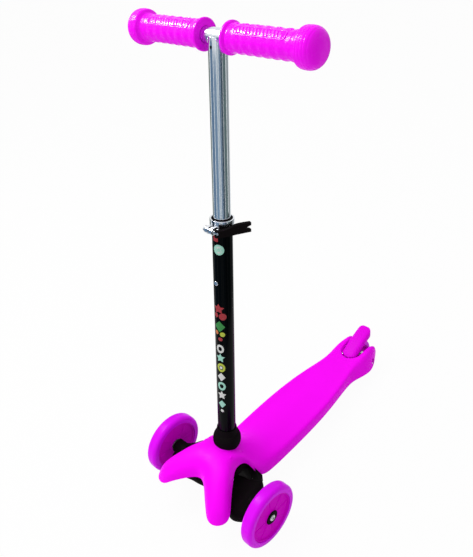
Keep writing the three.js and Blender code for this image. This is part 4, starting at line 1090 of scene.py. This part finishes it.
LEVER_INNER = [(17.5, -19.5), (20.6, -12), (21.6, -3), (22.8, 7), (26.4, 17), (31.8, 27.8)]
LEVER_OUTER = [(37.2, 25.6), (32.6, 14.5), (28.8, 4), (27.2, -6), (25.8, -15), (23.6, -22), (21, -28)]
CLAMP_BOLT = at(0, -25) @ along("X")
LEVER_PIVOT = at(16, -25)


def clamp_band():
    bore, outer = LOWER_OUTER + FIT, 19.2
    ears = join(soft_block((-7.5, -25.5, -5.8), (7.5, -bore, 5.8), 0.5),
                rod(5.8, -7.5, 7.5, 0.6, 56, at(0, -25.5) @ along("X")))
    return carve(
        join(ring(bore, outer, -6.5, 13.6, 0.8, 96), ears),
        rod(bore, -12, 16, 0, 96),
        block((-1.5, -40, -12), (1.5, -LOWER_BORE, 16)),
        rod(3.3, -12, 12, 0, 40, CLAMP_BOLT),
    )


def clamp_screw():
    shank = join(rod(3, -12.6, 16, 0.4, 48, CLAMP_BOLT), rod(3, -2.9, 2.9, 0.3, 48, LEVER_PIVOT))
    return carve(shank, rod(1.8, -7, 7, 0, 32, LEVER_PIVOT))


def clamp_lever():
    """The quick lever, thinner at its cam, with a slot for the bolt's eye and a notch in its tip."""
    body = join(prism(smooth_line(LEVER_INNER, 4) + smooth_line(LEVER_OUTER, 4), -8, 8),
                rod(5.6, -8, 8, 0, 56, LEVER_PIVOT))
    for vert in body.verts:
        vert.co.z *= 0.7 + 0.3 * min(1, max(0, (vert.co.y + 20) / 26))
    notch = prism([(-10, 0), (2, -4), (2, 4)], -6, 6)
    tip = at(34.5, 26.7) @ turn(math.radians(90 - 21), "Z")
    return carve(
        body,
        placed(notch, tip @ turn(math.pi / 2, "X")),
        block((7.6, -33.4, -3.3), (20.4, -21.4, 3.3)),
        rod(1.8, -12, 12, 0, 32, LEVER_PIVOT),
    )


class SCOOTER_OT_clamp(bpy.types.Operator):
    """Makes the quick clamp: split band, bolt, nut, cam lever and its pin"""

    bl_idname = "scooter.clamp"
    bl_label = "Quick clamp"

    def execute(self, context):
        place = on_stem(CLAMP_HEIGHT)
        nut = placed(carve(hexagon(9.5, -11.6, -7.8, 0.5), rod(3.3, -16, -7, 0, 40)), CLAMP_BOLT)
        pin = rod(1.5, -7, 7, 0.3, 40, LEVER_PIVOT)
        finish_piece("split_band", clamp_band(), "deck", "clamp_metal", ["clamp_band"], place, bevel=0.5)
        finish_piece("clamp_screw", clamp_screw(), "deck", "zinc", ["clamp_bolt"], place)
        finish_piece("clamp_locknut", nut, "deck", "zinc", ["clamp_nut"], place)
        finish_piece("lever_pin", pin, "deck", "zinc", ["clamp_lever_pin"], place)
        finish_piece("cam_lever", clamp_lever(), "lever", "black_plastic", ["clamp_lever"], place, bevel=0.8)
        return {"FINISHED"}


# T-bar and grips

CROSSBAR = 11.2
# Radius, place along the grip and, on the flange, the rounding of the corner
GRIP_FLANGE = [(21, 23, 0.6), (22.4, 24.3, 0.8), (22.4, 27.1, 0.8), (21, 28.4, 0.6), (18.8, 29.8, 1.2)]
GRIP_BALL = [(18.9, 138), (19.3, 142), (21.4, 144.2), (24.6, 146), (25.7, 149), (26, 153), (26, 157), (25.4, 161),
             (24, 164.4), (21.6, 167.4), (18, 170), (13, 171.8), (7, 172.4), (0, 172.6)]
GRIP_WAVES = 7
GRIP_HOLD = (32, 136)
GRIP_RADIUS = 19
PANEL_TILT = 44
PANEL_LOW, PANEL_HIGH, PANEL_HALF = 42, 128, 6.4
PANEL_BARS = 13


def t_bar():
    across = at(z=BAR_HEIGHT) @ along("X")
    foot = 296
    return carve(
        join(rod(UPPER_OUTER, foot, BAR_HEIGHT, 0.4, 96), rod(CROSSBAR, -138, 138, 0.5, 96, across)),
        rod(UPPER_BORE, foot - 2, 700, 0, 72),
        rod(9.6, -140, 140, 0, 72, across),
        rod(4.3, 5, 16, 0, 40, BUTTON_PLACE),
        rod(2.2, 5, 16, 0, 32, at(z=697) @ along("Y")),
    )


def weld_bead():
    """The bead where the tube is welded up to the crossbar."""
    steps, sides, wire, reach = 64, 8, 1.3, 10.9
    loops = []
    bm = bmesh.new()
    for i in range(steps):
        angle = TURN * i / steps
        outward = Vector((math.cos(angle), math.sin(angle), 0))
        centre = outward * (UPPER_OUTER - 0.4)
        centre.y = max(-reach, min(reach, centre.y))
        centre.z = BAR_HEIGHT - math.sqrt(CROSSBAR ** 2 - centre.y ** 2)
        spread = [TURN * k / sides for k in range(sides)]
        loops.append([bm.verts.new(centre + outward * wire * math.cos(a) + Vector((0, 0, wire * math.sin(a))))
                      for a in spread])
    for pair_of_loops in zip(loops, loops[1:] + loops[:1]):
        edges = []
        for k in range(sides):
            for loop in pair_of_loops:
                pair = (loop[k], loop[(k + 1) % sides])
                edges.append(bm.edges.get(pair) or bm.edges.new(pair))
        bmesh.ops.bridge_loops(bm, edges=edges)
    return tidy(bm)


def grip_panel_turn(sign):
    """Turns a grip's +X to the side of the grip that faces up and forward."""
    tilt = math.radians(PANEL_TILT)
    local = along("X", sign).inverted() @ Vector((0, -math.cos(tilt), math.sin(tilt)))
    return turn(math.atan2(local.y, local.x), "Z")


def grip_studs(sign):
    """Small studs on the back of the grip, in staggered rows."""
    studs = []
    panel = grip_panel_turn(sign)
    for row in range(11):
        for column in range(2 + row % 2, 9, 2):
            bm = bmesh.new()
            bmesh.ops.create_uvsphere(bm, u_segments=8, v_segments=6, radius=1)
            bmesh.ops.scale(bm, verts=bm.verts, vec=(sizes().stud_height / MM * 2, 1.7, 3.0))
            studs.append(placed(bm, panel @ turn(-sign * TURN * column / 16, "Z") @ at(18.75, 0, 36 + row * 9)))
    return studs


def grip(sign):
    bore, bore_end, steps = 11.5, 138.6, 80
    low, high = GRIP_HOLD
    flange = rounded([(bore, GRIP_FLANGE[0][1])] + GRIP_FLANGE + [(18.9, 31)], closed=False)
    hold = []
    for i in range(steps + 1):
        share = i / steps
        wave = sizes().grip_wave / MM * math.cos(TURN * GRIP_WAVES * share)
        hold.append((GRIP_RADIUS - 0.1 + wave, low + (high - low) * share))
    ball = [(r - 0.4 * max(0.0, math.cos(TURN * h / 4.6)) ** 4 if 147 < h < 168 else r, h)
            for r, h in smooth_line(GRIP_BALL)]
    return together(lathe([(0, bore_end), (bore, bore_end)] + flange + hold + ball, 96, closed=False),
                    *grip_studs(sign))


def bent_on_grip(bm, radius):
    """Bends a flat shape, drawn with its length along Y and its height in Z, round a grip's axis."""
    for vert in bm.verts:
        angle = vert.co.x / radius
        reach = radius + vert.co.z
        vert.co = (reach * math.cos(angle), reach * math.sin(angle), vert.co.y)
    bmesh.ops.recalc_face_normals(bm, faces=bm.faces)
    return bm


def panel_outline(inset, corner):
    half, low, high = PANEL_HALF - inset, PANEL_LOW + inset, PANEL_HIGH - inset
    return rounded([(-half, low, corner), (half, low, corner), (half, high, corner), (-half, high, corner)], steps=6)


def grip_relief(sign):
    """A long raised frame on the grip with a row of slanted bars in it."""
    shapes = [flat(panel_outline(0, 5), panel_outline(1.1, 4))]
    for i in range(PANEL_BARS):
        y = PANEL_LOW + 9 + (PANEL_HIGH - PANEL_LOW - 18) * i / (PANEL_BARS - 1)
        long = 4.4 if i % 3 else 3.2
        corners = [(-long, y - 3.4, 0.8), (-long, y - 0.6, 0.8), (long, y + 3.4, 0.8), (long, y + 0.6, 0.8)]
        shapes.append(flat(rounded(corners, steps=3)))
    for bm in shapes:
        sliced(bm, [k * 2 for k in range(-3, 4)])
        raised(bm, 1.7)
        placed(bent_on_grip(bm, GRIP_RADIUS - 0.9), grip_panel_turn(sign))
    return together(*shapes)


class SCOOTER_OT_t_bar(bpy.types.Operator):
    """Makes the chromed T-bar with its weld"""

    bl_idname = "scooter.t_bar"
    bl_label = "T-bar"

    def execute(self, context):
        finish_piece("chromed_bar", together(t_bar(), weld_bead()), "handlebar", "chrome", ["t_bar"], STEM)
        return {"FINISHED"}


class SCOOTER_OT_grips(bpy.types.Operator):
    """Moulds the two grips with flanges, waves, studs and ball ends"""

    bl_idname = "scooter.grips"
    bl_label = "Grips"

    def execute(self, context):
        for side, sign in SIDES.items():
            place = on_stem(BAR_HEIGHT, along("X", sign))
            finish_piece(f"rubber_grip_{side}", grip(sign), "handlebar", "grip_rubber", [f"grip_{side}"], place)
            # The relief's paler, glossier finish carries painted highlight.
            finish_piece(f"grip_relief_{side}", grip_relief(sign), "handlebar", "grip_panel", place=place, bevel=0.25)
        return {"FINISHED"}


# Stage

CAMERA_AZIMUTH, CAMERA_ELEVATION, CAMERA_ROLL = 46.5468, 31.2003, -5.7733
CAMERA_TARGET = Vector((0.115189, FRONT_AXLE_Y, 0.608859))
CAMERA_DISTANCE = 0.78346
PICTURE_WIDTH, PICTURE_HEIGHT = 473, 557
FOCAL_PIXELS, SHIFT_PIXELS = 604.27, -32.22
SENSOR = 36.0
# Place, what it faces, its side and its power
LAMPS = {
    "top_lamp": ((-0.9, -0.5, 2.5), (0, 0, 0.3), 1.6, 31),
    "front_lamp": ((-0.7, -2.4, 1.5), (0, 0, 0.4), 1.4, 15),
}
FLOOR_WHITE_SHARE = 0.96
AMBIENT = 0.58
CARD_RADIUS = 0.62
CARD_CENTRE = Vector((0, -0.12, 0))
CARD_HEIGHT = 0.86
# Panels standing round the stem that only its gloss shows: bearing from the front to the rider's left and width
# in degrees, and colour
GLOSS_CARDS = {
    "panel_slate": (-95, 44, (0.20, 0.24, 0.22)), "panel_steel_far": (-42, 42, (0.13, 0.22, 0.34)),
    "panel_steel": (2, 34, (0.20, 0.30, 0.42)), "panel_mist": (32, 16, (0.42, 0.50, 0.56)),
    "panel_blue": (54, 18, (0.16, 0.24, 0.34)), "panel_dark": (76, 24, (0.06, 0.09, 0.12)),
    "panel_teal": (112, 40, (0.12, 0.17, 0.17)), "panel_grey": (160, 40, (0.30, 0.33, 0.34)),
}
SKY_PANEL_PLACE, SKY_PANEL_TARGET = Vector((-0.74, -0.44, 1.50)), Vector((0, -0.2, 0.85))
SKY_PANEL_SIZE, SKY_PANEL_STRENGTH = 0.34, 60


def facing(place, target):
    return (Vector(target) - Vector(place)).to_track_quat("-Z", "Y")


def add_camera():
    a, e = math.radians(CAMERA_AZIMUTH), math.radians(CAMERA_ELEVATION)
    back = Vector((math.sin(a) * math.cos(e), -math.cos(a) * math.cos(e), math.sin(e)))
    right = (-back).cross(Vector((0, 0, 1))).normalized()
    up = right.cross(-back)
    roll = math.radians(CAMERA_ROLL)
    turned_right = right * math.cos(roll) + up * math.sin(roll)
    turned_up = up * math.cos(roll) - right * math.sin(roll)
    data = bpy.data.cameras.new("camera")
    data.sensor_fit = "AUTO"
    data.sensor_width = SENSOR
    data.lens = FOCAL_PIXELS * SENSOR / max(PICTURE_WIDTH, PICTURE_HEIGHT)
    data.shift_y = SHIFT_PIXELS / max(PICTURE_WIDTH, PICTURE_HEIGHT)
    data.clip_start, data.clip_end = 0.01, 60
    camera = bpy.data.objects.new("camera", data)
    bpy.context.scene.collection.objects.link(camera)
    basis = Matrix((turned_right, turned_up, back)).transposed().to_4x4()
    camera.matrix_world = Matrix.Translation(CAMERA_TARGET + back * CAMERA_DISTANCE) @ basis
    bpy.context.scene.camera = camera


def add_lamp(name, place, target, size, power):
    data = bpy.data.lights.new(name, "AREA")
    data.shape = "RECTANGLE"
    data.size = data.size_y = size
    data.energy = power
    lamp = bpy.data.objects.new(name, data)
    bpy.context.scene.collection.objects.link(lamp)
    lamp.location = place
    lamp.rotation_euler = facing(place, target).to_euler()
    lamp.visible_glossy = False


def glow_card(name, bm, colour_value, strength):
    """A plain glowing panel that only glossy rays see."""
    card = loose_object(name, bm)
    material = bpy.data.materials.new(name)
    material.use_nodes = True
    tree = material.node_tree
    tree.nodes.clear()
    glow = add(tree, "Emission", {"Color": (*colour_value, 1), "Strength": strength})
    add(tree, "OutputMaterial", {"Surface": glow.outputs[0]})
    card.data.materials.append(material)
    card.visible_camera = card.visible_diffuse = False
    card.visible_shadow = card.visible_transmission = False


def add_card(name, bearing, width, colour_value):
    """One standing panel round the stem."""
    bm = bmesh.new()
    bmesh.ops.create_grid(bm, x_segments=8, y_segments=1, size=0.5)
    for vert in bm.verts:
        angle = math.radians(bearing + vert.co.x * width)
        outward = Vector((math.sin(angle), -math.cos(angle), 0)) * CARD_RADIUS
        vert.co = CARD_CENTRE + outward + Vector((0, 0, 0.004 + (vert.co.y + 0.5) * CARD_HEIGHT))
    glow_card(name, bm, colour_value, 1.0)


def add_sky_panel():
    """A small bright panel over the rider's right, which gives the grips their long highlight."""
    bm = bmesh.new()
    bmesh.ops.create_grid(bm, x_segments=2, y_segments=2, size=SKY_PANEL_SIZE / 2)
    tilt = facing(SKY_PANEL_PLACE, SKY_PANEL_TARGET).to_matrix().to_4x4()
    glow_card("panel_sky", placed(bm, Matrix.Translation(SKY_PANEL_PLACE) @ tilt), (1, 1, 1), SKY_PANEL_STRENGTH)


def seen_by(tree, *kinds):
    """1 for rays of any of these kinds, and 0 for the rest."""
    path = add(tree, "LightPath")
    share, *others = [path.outputs[f"Is {kind} Ray"] for kind in kinds]
    for other in others:
        share = add(tree, "Math", {0: share, 1: other}, operation="MAXIMUM").outputs[0]
    return share


def set_world():
    """A white background that lights the scooter at a lower level."""
    world = bpy.data.worlds.new("studio")
    bpy.context.scene.world = world
    world.use_nodes = True
    tree = world.node_tree
    tree.nodes.clear()
    shown = seen_by(tree, "Camera", "Glossy", "Transmission")
    strength = add(tree, "MapRange", {"Value": shown, "To Min": AMBIENT, "To Max": 1.0})
    background = add(tree, "Background", {"Color": (1, 1, 1, 1), "Strength": strength.outputs["Result"]})
    add(tree, "OutputWorld", {"Surface": background.outputs[0]})


def add_floor():
    """A pale paper floor, most of it plain white to the camera, so that it keeps a soft shadow."""
    bm = bmesh.new()
    bmesh.ops.create_grid(bm, x_segments=8, y_segments=8, size=12)
    floor = loose_object("floor", bm)
    material, tree, shader = blank("floor_paper", colours().floor, 0.9, specular=0)
    vary_colour(tree, shader, noise(tree, position(tree), 300), colours().floor, 0.985, 1)
    white = add(tree, "Emission", {"Color": (1, 1, 1, 1), "Strength": 1.0})
    share = add(tree, "Math", {0: seen_by(tree, "Camera", "Glossy"), 1: FLOOR_WHITE_SHARE}, operation="MULTIPLY")
    mix = add(tree, "MixShader", {0: share.outputs[0], 1: shader.outputs[0], 2: white.outputs[0]})
    tree.links.new(mix.outputs[0], tree.nodes["Material Output"].inputs["Surface"])
    floor.data.materials.append(material)


class SCOOTER_OT_stage(bpy.types.Operator):
    """Sets the pale floor, the soft lamps, the gloss cards and the camera"""

    bl_idname = "scooter.stage"
    bl_label = "Stage"

    def execute(self, context):
        context.scene.view_settings.view_transform = "Standard"
        set_world()
        add_floor()
        add_camera()
        for name, lamp in LAMPS.items():
            add_lamp(name, *lamp)
        for name, card in GLOSS_CARDS.items():
            add_card(name, *card)
        add_sky_panel()
        return {"FINISHED"}


class SCOOTER_PT_panel(bpy.types.Panel):
    """Lists the scooter's pieces, sizes and colours"""

    bl_idname = "SCOOTER_PT_panel"
    bl_label = "Scooter"
    bl_space_type = "VIEW_3D"
    bl_region_type = "UI"
    bl_category = "Scooter"

    def draw(self, context):
        layout = self.layout
        for operator in OPERATORS:
            layout.operator(operator.bl_idname)
        for group in (context.scene.scooter_sizes, context.scene.scooter_colours):
            box = layout.box()
            for key in group.bl_rna.properties.keys():
                if key not in ("rna_type", "name"):
                    box.prop(group, key)


OPERATORS = (
    SCOOTER_OT_deck, SCOOTER_OT_steering, SCOOTER_OT_kingpin, SCOOTER_OT_springs, SCOOTER_OT_front_wheels,
    SCOOTER_OT_rear_wheel, SCOOTER_OT_brake, SCOOTER_OT_stem, SCOOTER_OT_clamp, SCOOTER_OT_t_bar,
    SCOOTER_OT_grips, SCOOTER_OT_stage,
)
CLASSES = (ScooterSizes, ScooterColours, *OPERATORS, SCOOTER_PT_panel)


def register():
    for cls in CLASSES:
        bpy.utils.register_class(cls)
    bpy.types.Scene.scooter_sizes = bpy.props.PointerProperty(type=ScooterSizes)
    bpy.types.Scene.scooter_colours = bpy.props.PointerProperty(type=ScooterColours)


def unregister():
    del bpy.types.Scene.scooter_colours
    del bpy.types.Scene.scooter_sizes
    for cls in reversed(CLASSES):
        bpy.utils.unregister_class(cls)


def main():
    register()
    bpy.ops.scooter.deck()
    bpy.ops.scooter.steering()
    bpy.ops.scooter.kingpin()
    bpy.ops.scooter.springs()
    bpy.ops.scooter.front_wheels()
    bpy.ops.scooter.rear_wheel()
    bpy.ops.scooter.brake()
    bpy.ops.scooter.stem()
    bpy.ops.scooter.clamp()
    bpy.ops.scooter.t_bar()
    bpy.ops.scooter.grips()
    bpy.ops.scooter.stage()


if __name__ == "__main__":
    main()
